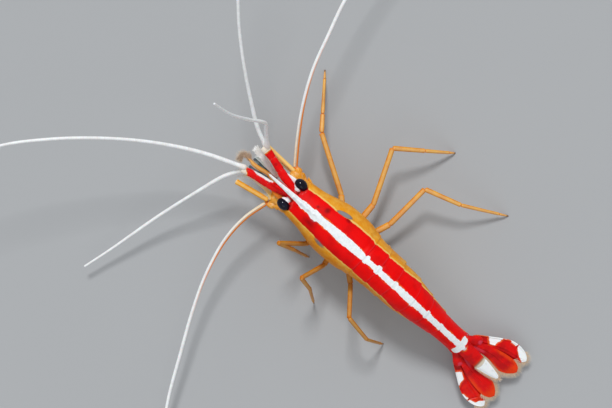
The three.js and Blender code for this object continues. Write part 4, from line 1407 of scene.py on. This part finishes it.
def add_claw(shape, ankle, foot):
    """The last segment: a short curved claw with two lesser points, ending on the floor."""
    ahead = unit(foot - ankle)
    length = np.linalg.norm(foot - ankle)
    s = np.linspace(0, 1, 22)
    path = between(ankle, foot, s[:, None]) + np.sin(np.pi * s)[:, None] * np.array([0, 0, 0.12])
    radius = (0.24 - 0.13 * s) * np.sqrt(np.clip(1 - (1 - np.clip(s / 0.1, 0, 1)) ** 2, 0.02, 1))
    path[:, 2] = np.maximum(path[:, 2], radius * 0.4)
    add_tube(shape, path, radius, 14, tip=ramp(s, 0.55, 0.95), ring=0.5 * np.exp(-s * 12))
    for place, size in ((0.55, 0.5), (0.75, 0.4)):
        root = between(ankle, foot, place)
        tip = root + (ahead * 0.9 + np.array([0, 0, -0.35])) * size * length * 0.3
        tip[2] = max(tip[2], 0.03)
        add_tube(shape, straight(root, tip, 5), LESSER_CLAW, 8, tip=0.8)


def add_pincer(shape, wrist, tip, radius, gape=0.18):
    """A palm and two fingers that nearly close."""
    ahead = unit(tip - wrist)
    across = unit(np.cross(ahead, [0, 0, 1]))
    length = np.linalg.norm(tip - wrist)
    palm = wrist + ahead * length * 0.55
    add_segment(shape, wrist, palm, radius * 0.9, radius * 1.15)
    for turn in (1, -1):
        s = np.linspace(0, 1, 18)[:, None]
        root = palm - ahead * 0.1 + across * turn * radius * 0.55
        arc = np.sin(np.pi * np.clip(s * 0.75, 0, 1)) * gape * turn
        path = between(root, tip, s) + across * arc
        thin = radius * 0.5 * (1 - 0.8 * s[:, 0])
        add_tube(shape, path, rounded(thin, path), 12, tip=ramp(s[:, 0], 0.7, 1.0) * 0.6)


# The folded legs' hip, knee, wrist and tip on the left side.
PINCER_LEG = [(1.7, 5.2, 5.9), (2.9, -2.0, 4.9), (2.3, -5.0, 5.6), (1.7, -8.6, 6.2)]
RINGED_LEG = [(2.0, 6.9, 5.5), (2.7, 0.4, 3.9), (2.9, 8.4, 2.2), (2.0, 5.2, 1.6)]
WRIST_RINGS = 22
WRIST_SWELL = np.array([0.86, 1.0, 1.04, 1.0])     # the radius along each ring


def add_upper_leg(shape, hip, knee, base_radii, radii):
    """The base of a folded leg and its long segment."""
    add_segment(shape, hip + [0, 0.4, 0.5], between(hip, knee, 0.25), *base_radii)
    add_segment(shape, between(hip, knee, 0.22), knee, *radii)


def build_folded_legs():
    """The short first pair and the long, many-ringed second pair, folded under the head."""
    for label, side in SIDES.items():
        hip, knee, wrist, tip = np.array(PINCER_LEG) * [side, 1, 1]
        shape = Shape()
        add_upper_leg(shape, hip, knee, (0.6, 0.5), (0.44, 0.38))
        add_segment(shape, knee, wrist, 0.36, 0.34)
        add_pincer(shape, wrist, tip, 0.36)
        make_piece(shape, f"pincer_leg_1_{label}", looks["leg"], (f"leg_1_{label}",))

        hip, knee, wrist, tip = np.array(RINGED_LEG) * [side, 1, 1]
        shape = Shape()
        add_upper_leg(shape, hip, knee, (0.55, 0.42), (0.36, 0.3))
        path = straight(knee, wrist, WRIST_RINGS * 4 + 1)
        swell = WRIST_SWELL[np.arange(len(path)) % 4]
        add_tube(shape, path, rounded(0.26 * swell, path), 14, ring=1 - swell * 0.8)
        add_pincer(shape, wrist, tip, 0.25, 0.1)
        make_piece(shape, f"ringed_leg_2_{label}", looks["leg"], (f"leg_2_{label}",))
        build_pincer_hairs(label, side)


def build_pincer_hairs(label, side):
    """Brushes of hair on the fingers that clean."""
    shape = Shape()
    tip = np.array(PINCER_LEG[-1]) * [side, 1, 1]
    root = np.array([2.0 * side, -6.9, 5.95])
    count = 70
    share = rng.uniform(0.1, 1, count)
    roots = between(root, tip, share[:, None]) + rng.normal(0, 0.12, (count, 3))
    lean = unit(tip - root) + rng.normal(0, 0.45, (count, 3))
    places = (share, rng.uniform(0, 1, count))
    add_hairs(shape, roots, lean, rng.uniform(0.3, 0.55, count), 0.014, places)
    make_piece(shape, f"pincer_hairs_{label}", looks["tan_hair"])


# The last segments of the third mouth legs, how wide they are and how much they narrow.
MOUTH_LEGS = {
    "L": {"route": [(0.75, -5.4, 7.7), (0.78, -6.48, 7.8), (1.11, -8.11, 7.8), (1.28, -9.5, 7.8),
                    (1.15, -10.65, 7.8), (1.12, -11.5, 7.8), (1.58, -12.15, 7.8), (2.25, -12.0, 7.8)],
          "wide": 0.38, "narrow": 0.5, "look": "leg"},
    "R": {"route": [(-0.2, -4.6, 7.9), (-0.25, -6.33, 8.1), (-0.62, -8.14, 8.2), (-0.93, -10.0, 8.25),
                    (-1.1, -11.1, 8.3)],
          "wide": 0.44, "narrow": 0.2, "look": "pale_leg"},
}
# The branches beside each: their routes, half widths and thicknesses, and how white they are.
BRANCHES = {
    "L": [([(1.5, -4.8, 7.2), (1.75, -6.8, 7.3), (2.05, -8.6, 7.3), (2.1, -10.0, 7.3)], 0.4, 0.06, 0.0)],
    "R": [([(0.1, -4.8, 7.5), (-0.12, -5.9, 7.6), (-0.05, -8.11, 7.6), (0.02, -10.4, 7.6)], 0.4, 0.12, 1.0),
          ([(0.35, -4.6, 7.1), (0.42, -6.6, 7.1), (0.55, -8.4, 7.1), (0.62, -10.2, 7.1)], 0.66, 0.06, 0.0)],
}
STRAP_POINTS = 110             # along a mouth leg

# The hairs of each mouth leg: how many and how thick, the point of the leg where they begin, how
# far out they root and how they spread, their lengths before and after a point, and the tip's.
MOUTH_HAIRS = {
    "L": {"look": "tan_hair", "count": 1900, "thin": 0.022, "first": 50, "out": 0.26, "spread": 0.75,
          "inward": 0.5, "upward": 0.0, "change": 72, "short": 0.5, "long": 1.3, "tip": 1.0},
    "R": {"look": "white_hair", "count": 2600, "thin": 0.048, "first": 6, "out": 0.4, "spread": 0.5,
          "inward": 0.0, "upward": 0.2, "change": 70, "short": 0.6, "long": 0.9, "tip": 0.7},
}
TIP_HAIRS = 620


def add_strap(shape, route, wide, tall, narrow=0.35, ring=0.0):
    """A flat limb along a curve, round at both ends."""
    path = smooth_route(route, STRAP_POINTS)
    share = np.linspace(0, 1, STRAP_POINTS)
    half = rounded(wide * (1 - narrow * ramp(share, 0.5, 0.8)), path, 0.8)
    add_tube(shape, path, half, 20, tall=half * tall / wide, ring=ring)
    return path


def build_maxillipeds():
    """The third mouth legs: long, flat and hairy, they reach out between the feelers' bases."""
    for label, side in SIDES.items():
        leg = MOUTH_LEGS[label]
        first = np.array([side * 1.2, 3.2, 6.9])
        second = np.array([side * 1.5, -2.0, 6.9])
        shape = Shape()
        add_segment(shape, first, second, 0.5, 0.44, flatness=0.7)
        add_segment(shape, second, leg["route"][1], 0.42, 0.38, flatness=0.7)
        path = add_strap(shape, leg["route"], leg["wide"], 0.24, leg["narrow"])
        make_piece(shape, f"mouth_leg_{label}", looks[leg["look"]], (f"maxilliped_{label}",))
        build_branches(label)
        build_mouth_hairs(label, path)


def build_branches(label):
    """Flat side branches of the mouth legs, one whitish and the others smoky and clear."""
    shape = Shape()
    for route, wide, tall, white in BRANCHES[label]:
        add_strap(shape, route, wide, tall, ring=white)
    make_piece(shape, f"mouth_branch_{label}", looks["membrane"])


def build_mouth_hairs(label, path):
    """Dense white bristles on the right mouth leg, a curled tan brush on the left one's tip."""
    hairs = Shape()
    kind = MOUTH_HAIRS[label]
    count = kind["count"]
    ahead = unit(np.gradient(path, axis=0))
    across = unit(np.cross(ahead, [0, 0, 1]))
    up = np.array([0, 0, 1])
    at = rng.integers(kind["first"], STRAP_POINTS - 2, count)
    flank = rng.uniform(-1, 1, count)[:, None]
    height = 0.21 * np.sqrt(1 - flank ** 2) if label == "R" else 0.1
    roots = path[at] + across[at] * flank * kind["out"] + up * height
    lean = across[at] * (flank * kind["spread"] + kind["inward"]) + ahead[at]
    lean = lean + rng.normal(0, 0.16, (count, 3)) + up * kind["upward"]
    size = np.where(at > kind["change"], kind["long"], kind["short"]) * rng.uniform(0.4, 1.0, count)
    add_hairs(hairs, roots, lean, size, kind["thin"], (at / STRAP_POINTS, 0.5 + 0.3 * flank[:, 0]))
    lean = ahead[-1] + rng.normal(0, 0.6, (TIP_HAIRS, 3))
    roots = path[-1] - ahead[-1] * rng.uniform(0, 1.0, (TIP_HAIRS, 1)) + rng.normal(0, 0.08, (TIP_HAIRS, 3))
    places = (rng.uniform(0.9, 1, TIP_HAIRS), rng.uniform(0, 1, TIP_HAIRS))
    add_hairs(hairs, roots, lean, rng.uniform(0.3, kind["tip"], TIP_HAIRS), kind["thin"], places)
    make_piece(hairs, f"mouth_leg_hairs_{label}", looks[kind["look"]])


# ------------------------------------------------------------------ swimmerets

SWIMMERET_SIZES = [4.1, 4.6, 4.4, 3.8, 3.2]


def build_swimmerets():
    """Under each of the first five rings, a pair of stems that carry two broad fringed leaves."""
    start = CARAPACE_END
    for number, size in enumerate(SWIMMERET_SIZES, start=1):
        y = 0.5 * (start + SOMITE_ENDS[number - 1])
        edge = body_points(y, ARCH, 0)
        for label, side in SIDES.items():
            root = np.array([side_bend(y) + side * 1.35, edge[1] - 0.1, edge[2] + 0.75])
            ahead = unit([side * 0.06, 0.72, -0.68])
            shape = Shape()
            hairs = Shape()
            stem = root + ahead * size * 0.4
            add_segment(shape, root, stem, 0.5, 0.42, flatness=0.7)
            for turn, share in ((side * 0.14, 1.0), (-side * 0.4, 0.85)):
                add_leaf(shape, hairs, stem - ahead * 0.2, unit(ahead + [turn, 0.15, -0.1]),
                         size * 0.86 * share, 0.8 * share, [side * 0.75, 0.3, 0.8])
            make_piece(shape, f"paddle_{number}_{label}", looks["amber"],
                       (f"swimmeret_{number}_{label}",))
            make_piece(hairs, f"paddle_fringe_{number}_{label}", looks["fringe"])
        start = SOMITE_ENDS[number - 1]


def add_leaf(shape, hairs, root, ahead, length, half, facing):
    """A thin leaf with a midrib and a fringe of hairs."""
    across = unit(np.cross(ahead, facing))
    over = np.cross(across, ahead)
    s = np.linspace(0, 1, 26)[:, None]
    t = np.linspace(-1, 1, 13)[None, :]
    wide = half * np.clip(np.sin(np.pi * (0.06 + 0.9 * s) ** 0.8), 0, 1) ** 0.6
    flat = root + ahead * (s * length)[..., None] + across * (wide * t)[..., None]
    half_sheet = over * (0.05 + 0.04 * np.exp(-(t / 0.18) ** 2))[..., None]
    add_sheet(shape, flat + half_sheet, flat - half_sheet)
    count = 46
    for column, turn in ((0, -1), (-1, 1)):
        line = even_points(flat[2:, column], count)
        lean = across * turn + ahead * 0.8 + rng.normal(0, 0.08, (count, 3))
        places = (np.linspace(0, 1, count), 0.5 + 0.3 * turn)
        add_hairs(hairs, line, lean, 0.8 * rng.uniform(0.7, 1, count), 0.018, places)


# ------------------------------------------------------------------ tail fan

TELSON_SPINES = [0.55, 0.76]    # the share of its length at which each pair of spines stands
TELSON_SPINE = np.array([0.07, 0.07, 0.06, 0.05, 0.03, 0.01])


def telson_half(share):
    """Half the telson's width."""
    return 1.42 - 0.15 * share - 0.95 * share ** 2.9


def build_telson():
    """A long plate with a raised back that tapers to a blunt, hairy tip."""
    shape = Shape()
    share = np.linspace(0, 1, 100)[:, None]
    t = np.linspace(-1, 1, 35)[None, :]
    start = SOMITE_ENDS[-1]
    y = start + 0.02 + share * (TELSON_TIP - start - 0.05)
    half = telson_half(share) * np.sqrt(np.clip(1 - np.clip((share - 0.965) / 0.035, 0, 1) ** 2, 0.05, 1))
    top = 7.55 - 3.4 * share - 0.42
    dome = (0.46 - 0.3 * share) * (1 - t ** 2) - 0.05 * bump_at(t, 0, 0.16) * (1 - share)
    thick = 0.2 + 1.7 * (1 - ramp(share, -0.1, 0.3))
    across = half * t
    upper = points_at(side_bend(y) + across, y, top + dome)
    lower = points_at(side_bend(y) + across, y, top - thick * (1 - 0.75 * t ** 2) - 0.03)
    white = np.minimum(y - 47.05 + 0.35 * np.abs(t), 0.1 + half * (1 - np.abs(t)) * 2)
    spot = 0.5 - np.hypot(across * 0.9, (y - 41.8) * 0.9)
    add_sheet(shape, upper, lower, white=np.maximum(white, spot), orange=0.5 * bump_at(y, 45.8, 0.25),
              clear=0.5 * ramp(y, 45.75, 46.0) + 0.5 * ramp(y, 46.0, 46.7),
              rib=bump_at(np.abs(t), 0.55, 0.12))
    for place in TELSON_SPINES:
        for side in SIDES.values():
            y = between(start, TELSON_TIP, place)
            root = np.array([side_bend(y) + side * telson_half(place) * 0.62, y, 7.4 - 3.4 * place])
            add_tube(shape, straight(root, root + [side * 0.05, 0.42, 0.02], 6), TELSON_SPINE, 8, white=1.0)
    middle = side_bend(41.0)
    path = straight((middle, 38.6, 6.85), (middle, 42.05, 5.75), 30)
    filling = rounded(1.86, path, 0.45)
    add_tube(shape, path, filling, 32, tall=filling * 0.82, white=-1.0)
    make_piece(shape, "telson_plate", looks["fin"], ("telson",))
    build_telson_fringe(0.5 * (upper + lower))


def build_telson_fringe(plate):
    """Hairs along both edges of the telson's rear half and round its tip."""
    hairs = Shape()
    count = 170
    for column, side in ((0, -1), (-1, 1)):
        line = even_points(plate[46:, column], count)
        lean = np.array([side * 0.75, 1.0, -0.2]) + rng.normal(0, 0.07, (count, 3)) * [1, 1, 0.3]
        places = (0.5 + 0.1 * side, np.linspace(0.4, 1, count))
        add_hairs(hairs, line, lean, np.linspace(0.5, 1.0, count), 0.018, places)
    count = 30
    lean = points_at(np.linspace(-0.35, 0.35, count), 1.0, -0.25)
    places = (np.linspace(0.45, 0.55, count), 0.98)
    add_hairs(hairs, even_points(plate[-1], count), lean, 1.15, 0.02, places)
    make_piece(hairs, "telson_fringe", looks["fringe"])


# Each blade's edges: how far out its inner and outer sides lie at each distance along it.
EXOPOD = {
    "hinge": (40.5, 4.55), "pitch": -11.5, "start": 1.5, "end": 13.1,
    "inner": [[1.5, 1.0], [3.0, 1.3], [6.0, 2.2], [9.0, 2.95], [11.0, 3.6], [12.0, 4.4], [12.7, 5.15],
              [13.1, 5.65]],
    "outer": [[1.5, 2.3], [2.0, 3.1], [3.0, 3.85], [4.2, 4.6], [5.6, 5.5], [6.6, 6.1], [8.0, 6.8],
              [9.4, 7.1], [10.8, 7.07], [11.9, 6.8], [12.8, 6.25], [13.1, 5.8]],
}
ENDOPOD = {
    "hinge": (41.0, 5.62), "pitch": -14.5, "start": 1.0, "end": 12.75,
    "inner": [[1.0, 0.6], [2.0, 0.75], [5.0, 1.35], [7.0, 1.4], [8.1, 1.15], [9.7, 1.05], [11.2, 1.55],
              [12.3, 2.35], [12.75, 2.95]],
    "outer": [[1.0, 1.8], [2.0, 2.3], [4.5, 3.2], [7.5, 4.05], [10.0, 4.4], [11.2, 4.3], [12.3, 3.85],
              [12.75, 3.2]],
}
FRINGE = 1.35                  # length of the hairs round the tail fan
HAIR_SPACING = 0.042
EDGE_SMOOTHING = 9             # hairs each side over which the fringe's direction is averaged


def fin_point(blade, side, lateral, along, lift):
    """A place in a blade's own plane, as a point of the animal."""
    pitch = math.radians(blade["pitch"])
    hinge_y, hinge_z = blade["hinge"]
    y = hinge_y + along * math.cos(pitch) - lift * math.sin(pitch)
    z = hinge_z + along * math.sin(pitch) + lift * math.cos(pitch)
    return points_at(FAN_MIDDLE_X + side * lateral, y, z)


def fin_edges(blade, steps):
    """A blade's inner and outer edges at this many places along it, closer together at its end."""
    s = np.linspace(0, 1, steps)
    along = between(blade["start"], blade["end"], 1 - (1 - s) ** 1.5)
    return along, profile(blade["inner"])(along), profile(blade["outer"])(along)


def fin_grid(blade, rows, columns):
    """For a grid over a blade: how far along and out each place lies, its share t and the width."""
    along, inner, outer = (row[:, None] for row in fin_edges(blade, rows))
    t = np.linspace(0, 1, columns)[None, :]
    return along + 0 * t, between(inner, outer, t), t + 0 * along, outer - inner


def fin_sheet(blade, side, lateral, along, t, lift):
    """The upper and lower faces of a blade, its upper one raised by lift."""
    lower = -0.05 - 0.08 * np.sin(np.pi * t)
    return fin_point(blade, side, lateral, along, lift), fin_point(blade, side, lateral, along, lower)


# On each outer blade: where the rear white patch reaches inwards from the outer edge, at each
# distance along it; how far the front one reaches in; where a dark bar lies; how orange it is.
EXOPOD_MARKS = {
    "L": {"patch": [[6.2, -0.2], [6.5, -0.2], [8.0, -0.2], [8.4, 0.26], [9.75, 0.42], [9.9, -0.1],
                    [10.0, -0.1], [10.1, 0.36], [10.6, 0.5], [11.4, 0.6], [11.7, 1.2], [12.3, 1.5],
                    [13.1, 1.5]],
          "reach": 1.35, "dark_at": 9.95, "orange": 0.35},
    "R": {"patch": [[6.2, -0.1], [6.5, -0.04], [7.9, -0.04], [8.3, 0.36], [9.45, 0.46], [9.55, -0.1],
                    [9.75, -0.1], [9.85, 0.5], [10.3, 0.87], [11.2, 1.4], [12.0, 1.5], [12.8, 1.3],
                    [13.1, 1.2]],
          "reach": 1.75, "dark_at": 9.65, "orange": 0.0},
}


def build_exopods():
    """The outer blades of the tail fan: red, with white patches on the outer edge."""
    for label, side in SIDES.items():
        pattern = EXOPOD_MARKS[label]
        along, lateral, t, width = fin_grid(EXOPOD, 150, 75)
        outer = profile(EXOPOD["outer"])(along)
        seam = 9.75 + (7.1 - lateral) * 0.66
        ribs = 0.10 * bump_at(t, 0.36, 0.05) + 0.10 * bump_at(t, 0.52, 0.045) + 0.14 * bump_at(t, 0.97, 0.05)
        suture = -0.16 * bump_at(along, seam, 0.12)
        dome = 0.16 * np.sin(np.pi * t) * np.clip(width / 4, 0, 1)
        fade = 1 - 0.6 * ramp(along, 10.5, 13)
        lift = 0.12 + dome + (ribs * fade + suture) * np.clip(width / 2, 0, 1)
        rim = outer - lateral
        first = (1.2 - 0.45 * rim - np.abs(along - 5.35 - 0.2 * rim)) * 0.8
        first = np.minimum(first, pattern["reach"] - rim)
        second = (steps_of(pattern["patch"], along) - rim) * 1.2
        shape = Shape()
        add_sheet(shape, *fin_sheet(EXOPOD, side, lateral, along, t, lift), white=np.maximum(first, second),
                  orange=0.6 * ramp(along, 9.5, 13) + pattern["orange"] - 0.15,
                  dark=bump_at(along, pattern["dark_at"], 0.12) * (1 - ramp(rim, 0.3, 0.9)),
                  rib=(ribs + suture) * 5)
        tooth = straight(fin_point(EXOPOD, side, 6.92, 9.35, 0.1), fin_point(EXOPOD, side, 7.2, 9.95, 0.1), 8)
        add_tube(shape, tooth, 0.16 - 0.15 * np.linspace(0, 1, 8), 10, white=-1.0, orange=0.3)
        add_protopod(shape, side)
        make_piece(shape, f"outer_fin_{label}", looks["fin"], (f"uropod_exopod_{label}",))
        build_fin_fringe(EXOPOD, side, f"outer_fin_fringe_{label}", 0.74, 62)


def add_protopod(shape, side):
    """The stout red base that carries both blades."""
    route = [(0.85, 39.6, 6.1), (1.0, 40.8, 5.6), (1.8, 42.4, 5.2), (2.6, 43.4, 4.9), (3.15, 44.2, 4.6)]
    path = smooth_route([(FAN_MIDDLE_X + side * x, y, z) for x, y, z in route], 46)
    share = np.linspace(0, 1, 46)
    wide = rounded(steps_of([[0, 0.7], [0.5, 1.0], [0.75, 1.08], [0.9, 0.9], [1, 0.6]], share), path, 0.7)
    tall = wide * steps_of([[0, 0.9], [0.7, 0.6], [1, 0.5]], share)
    add_tube(shape, path, wide, 40, tall=tall, white=-1.0, orange=-0.2)
    points, _, values = shape.blocks[-1]
    spot = np.hypot(points[:, 0] - FAN_MIDDLE_X - side * 2.75, (points[:, 1] - 44.0) * 0.8)
    values["pink"] = 1 - ramp(spot, 0.1, 0.7)


def build_endopods():
    """The inner blades: red, turning orange towards the tip and the inner edge."""
    for label, side in SIDES.items():
        along, lateral, t, width = fin_grid(ENDOPOD, 120, 61)
        ribs = 0.12 * bump_at(t, 0.5, 0.05) + 0.08 * bump_at(t, 0.62, 0.05)
        dome = 0.18 * np.sin(np.pi * t) * np.clip(width / 3, 0, 1)
        fade = 1 - 0.7 * ramp(along, 9, 12.5)
        lift = 0.1 + dome + ribs * fade * np.clip(width / 2, 0, 1)
        edge = np.minimum(t * 1.4, 1 - t) * width
        orange = np.maximum(1.15 - edge / 0.8, ramp(along, 9.5, 12.5)) * ramp(along, 5.0, 8.0)
        pink = 0.8 * bump_at(t, 0.25, 0.2) * (1 - ramp(along, 4.0, 6.0))
        shape = Shape()
        add_sheet(shape, *fin_sheet(ENDOPOD, side, lateral, along, t, lift), white=-1.0, orange=orange,
                  pink=pink, rib=ribs * 5)
        make_piece(shape, f"inner_fin_{label}", looks["fin"], (f"uropod_endopod_{label}",))
        build_fin_fringe(ENDOPOD, side, f"inner_fin_fringe_{label}", 0.66, 44)


def build_fin_fringe(blade, side, name, outer_from, low):
    """Feathery hairs round a blade: its inner edge from step low, its end, part of its outer edge."""
    steps = 200
    along, inner, outer = fin_edges(blade, steps)
    high = np.searchsorted(np.linspace(0, 1, steps), outer_from)
    flat = np.zeros((2 * steps - low - high - 1, 3))
    flat[:, 0] = np.concatenate([inner[low:], outer[:high:-1]])
    flat[:, 1] = np.concatenate([along[low:], along[:high:-1]])
    count = int(distances(flat)[-1] / HAIR_SPACING)
    edge = even_points(flat, count)[:, :2]
    ahead = unit(np.gradient(edge, axis=0))
    outward = np.stack([-ahead[:, 1], ahead[:, 0]])
    padded = np.pad(outward, ((0, 0), (EDGE_SMOOTHING, EDGE_SMOOTHING)), "edge")
    window = np.ones(2 * EDGE_SMOOTHING + 1) / (2 * EDGE_SMOOTHING + 1)
    outward = unit(np.stack([np.convolve(row, window, "valid") for row in padded], -1))
    lean = edge + outward * 0.9 + np.array([0, 0.55]) + rng.normal(0, 0.05, (count, 2))
    root = fin_point(blade, side, edge[:, 0], edge[:, 1], 0.02)
    direction = fin_point(blade, side, lean[:, 0], lean[:, 1], 0.0) - root
    share = np.linspace(0, 1, count)
    size = FRINGE * (0.45 + 0.55 * ramp(share, 0.0, 0.25)) * (1 - 0.35 * ramp(share, 0.85, 1.0))
    places = (0.5 + side * edge[:, 0] / 18, edge[:, 1] / 16)
    hairs = Shape()
    for layer in range(2):
        jitter = rng.normal(0, 0.05, (count, 3)) * [1, 1, 0.5]
        length = size * rng.uniform(0.8, 1.0, count)
        add_hairs(hairs, root, direction + jitter, length, 0.02, places, curve=0.08)
    make_piece(hairs, name, looks["fringe"])


# ------------------------------------------------------------------ camera, light and floor

FOCUS = np.array([-0.05, 2.05, 11.0])      # the place at the middle of the view
DISTANCE = 306.0
LEAN_FRONT = math.radians(5.0)             # how far from straight above it leans to the front
LEAN_RIGHT = math.radians(4.5)             # and to the animal's right
ROLL = math.radians(42.42)                 # how far the body's line slopes down to the right
SUN_DISTANCE = 400
FLOOR_HALF = 30.0              # metres


def add_camera():
    """A long lens almost straight above, rolled so that the head points up and to the left."""
    toward = unit([-math.sin(LEAN_RIGHT) * math.cos(LEAN_FRONT), -math.sin(LEAN_FRONT),
                   math.cos(LEAN_RIGHT) * math.cos(LEAN_FRONT)])
    tailward = unit(np.array([0, 1, 0]) - toward[1] * toward)
    sideways = np.cross(tailward, toward)
    right = math.cos(ROLL) * tailward - math.sin(ROLL) * sideways
    up = -(math.sin(ROLL) * tailward + math.cos(ROLL) * sideways)
    data = bpy.data.cameras.new("camera")
    data.lens = 100
    data.sensor_width = 36
    data.clip_start = 0.01
    camera = new_object("camera", data)
    turn_and_place(camera, right, up, toward, placed(FOCUS + toward * DISTANCE))
    bpy.context.scene.camera = camera


def turn_and_place(obj, right, up, toward, place):
    rows = [[right[k], up[k], toward[k], place[k]] for k in range(3)]
    obj.matrix_world = Matrix(rows + [[0, 0, 0, 1]])


def add_sun(name, toward, strength, softness):
    """A distant soft lamp that shines from the given direction."""
    data = bpy.data.lights.new(name, "SUN")
    data.energy = strength
    data.angle = math.radians(softness)
    toward = unit(toward)
    right = unit(np.cross([0, 1, 0], toward))
    place = placed(toward * SUN_DISTANCE)
    turn_and_place(new_object(name, data), right, np.cross(toward, right), toward, place)


def add_floor():
    mesh = bpy.data.meshes.new("floor")
    corners = [(x * FLOOR_HALF, y * FLOOR_HALF, 0) for x, y in ((-1, -1), (1, -1), (1, 1), (-1, 1))]
    mesh.from_pydata(corners, [], [(0, 1, 2, 3)])
    mesh.materials.append(floor_look())
    new_object("floor", mesh)


def add_world():
    """Soft light from all round. The camera itself sees a pale backdrop like the floor."""
    world = bpy.data.worlds.new("world")
    world.use_nodes = True
    tree = world.node_tree
    sky = tree.nodes["Background"]
    sky.inputs["Color"].default_value = (0.94, 0.97, 1.0, 1.0)
    sky.inputs["Strength"].default_value = 0.48
    backdrop = tree.nodes.new("ShaderNodeBackground")
    backdrop.inputs["Color"].default_value = colour(184, 186, 188)
    seen = tree.nodes.new("ShaderNodeLightPath").outputs["Is Camera Ray"]
    chosen = tree.nodes.new("ShaderNodeMixShader")
    tree.links.new(seen, chosen.inputs[0])
    tree.links.new(sky.outputs[0], chosen.inputs[1])
    tree.links.new(backdrop.outputs[0], chosen.inputs[2])
    tree.links.new(chosen.outputs[0], tree.nodes["World Output"].inputs["Surface"])
    bpy.context.scene.world = world


bpy.context.scene.view_settings.view_transform = "Standard"
add_camera()
add_world()
add_floor()
add_sun("key", (-0.42, -0.5, 0.76), 1.85, 12)
add_sun("fill", (0.5, 0.35, 0.8), 0.3, 40)

build_carapace()
build_abdomen()
build_underside()
build_head()
build_eyes()
build_antennule_peduncles()
build_antenna_bases()
build_antennal_scales()
build_feelers()
build_walking_legs()
build_folded_legs()
build_maxillipeds()
build_swimmerets()
build_telson()
build_endopods()
build_exopods()
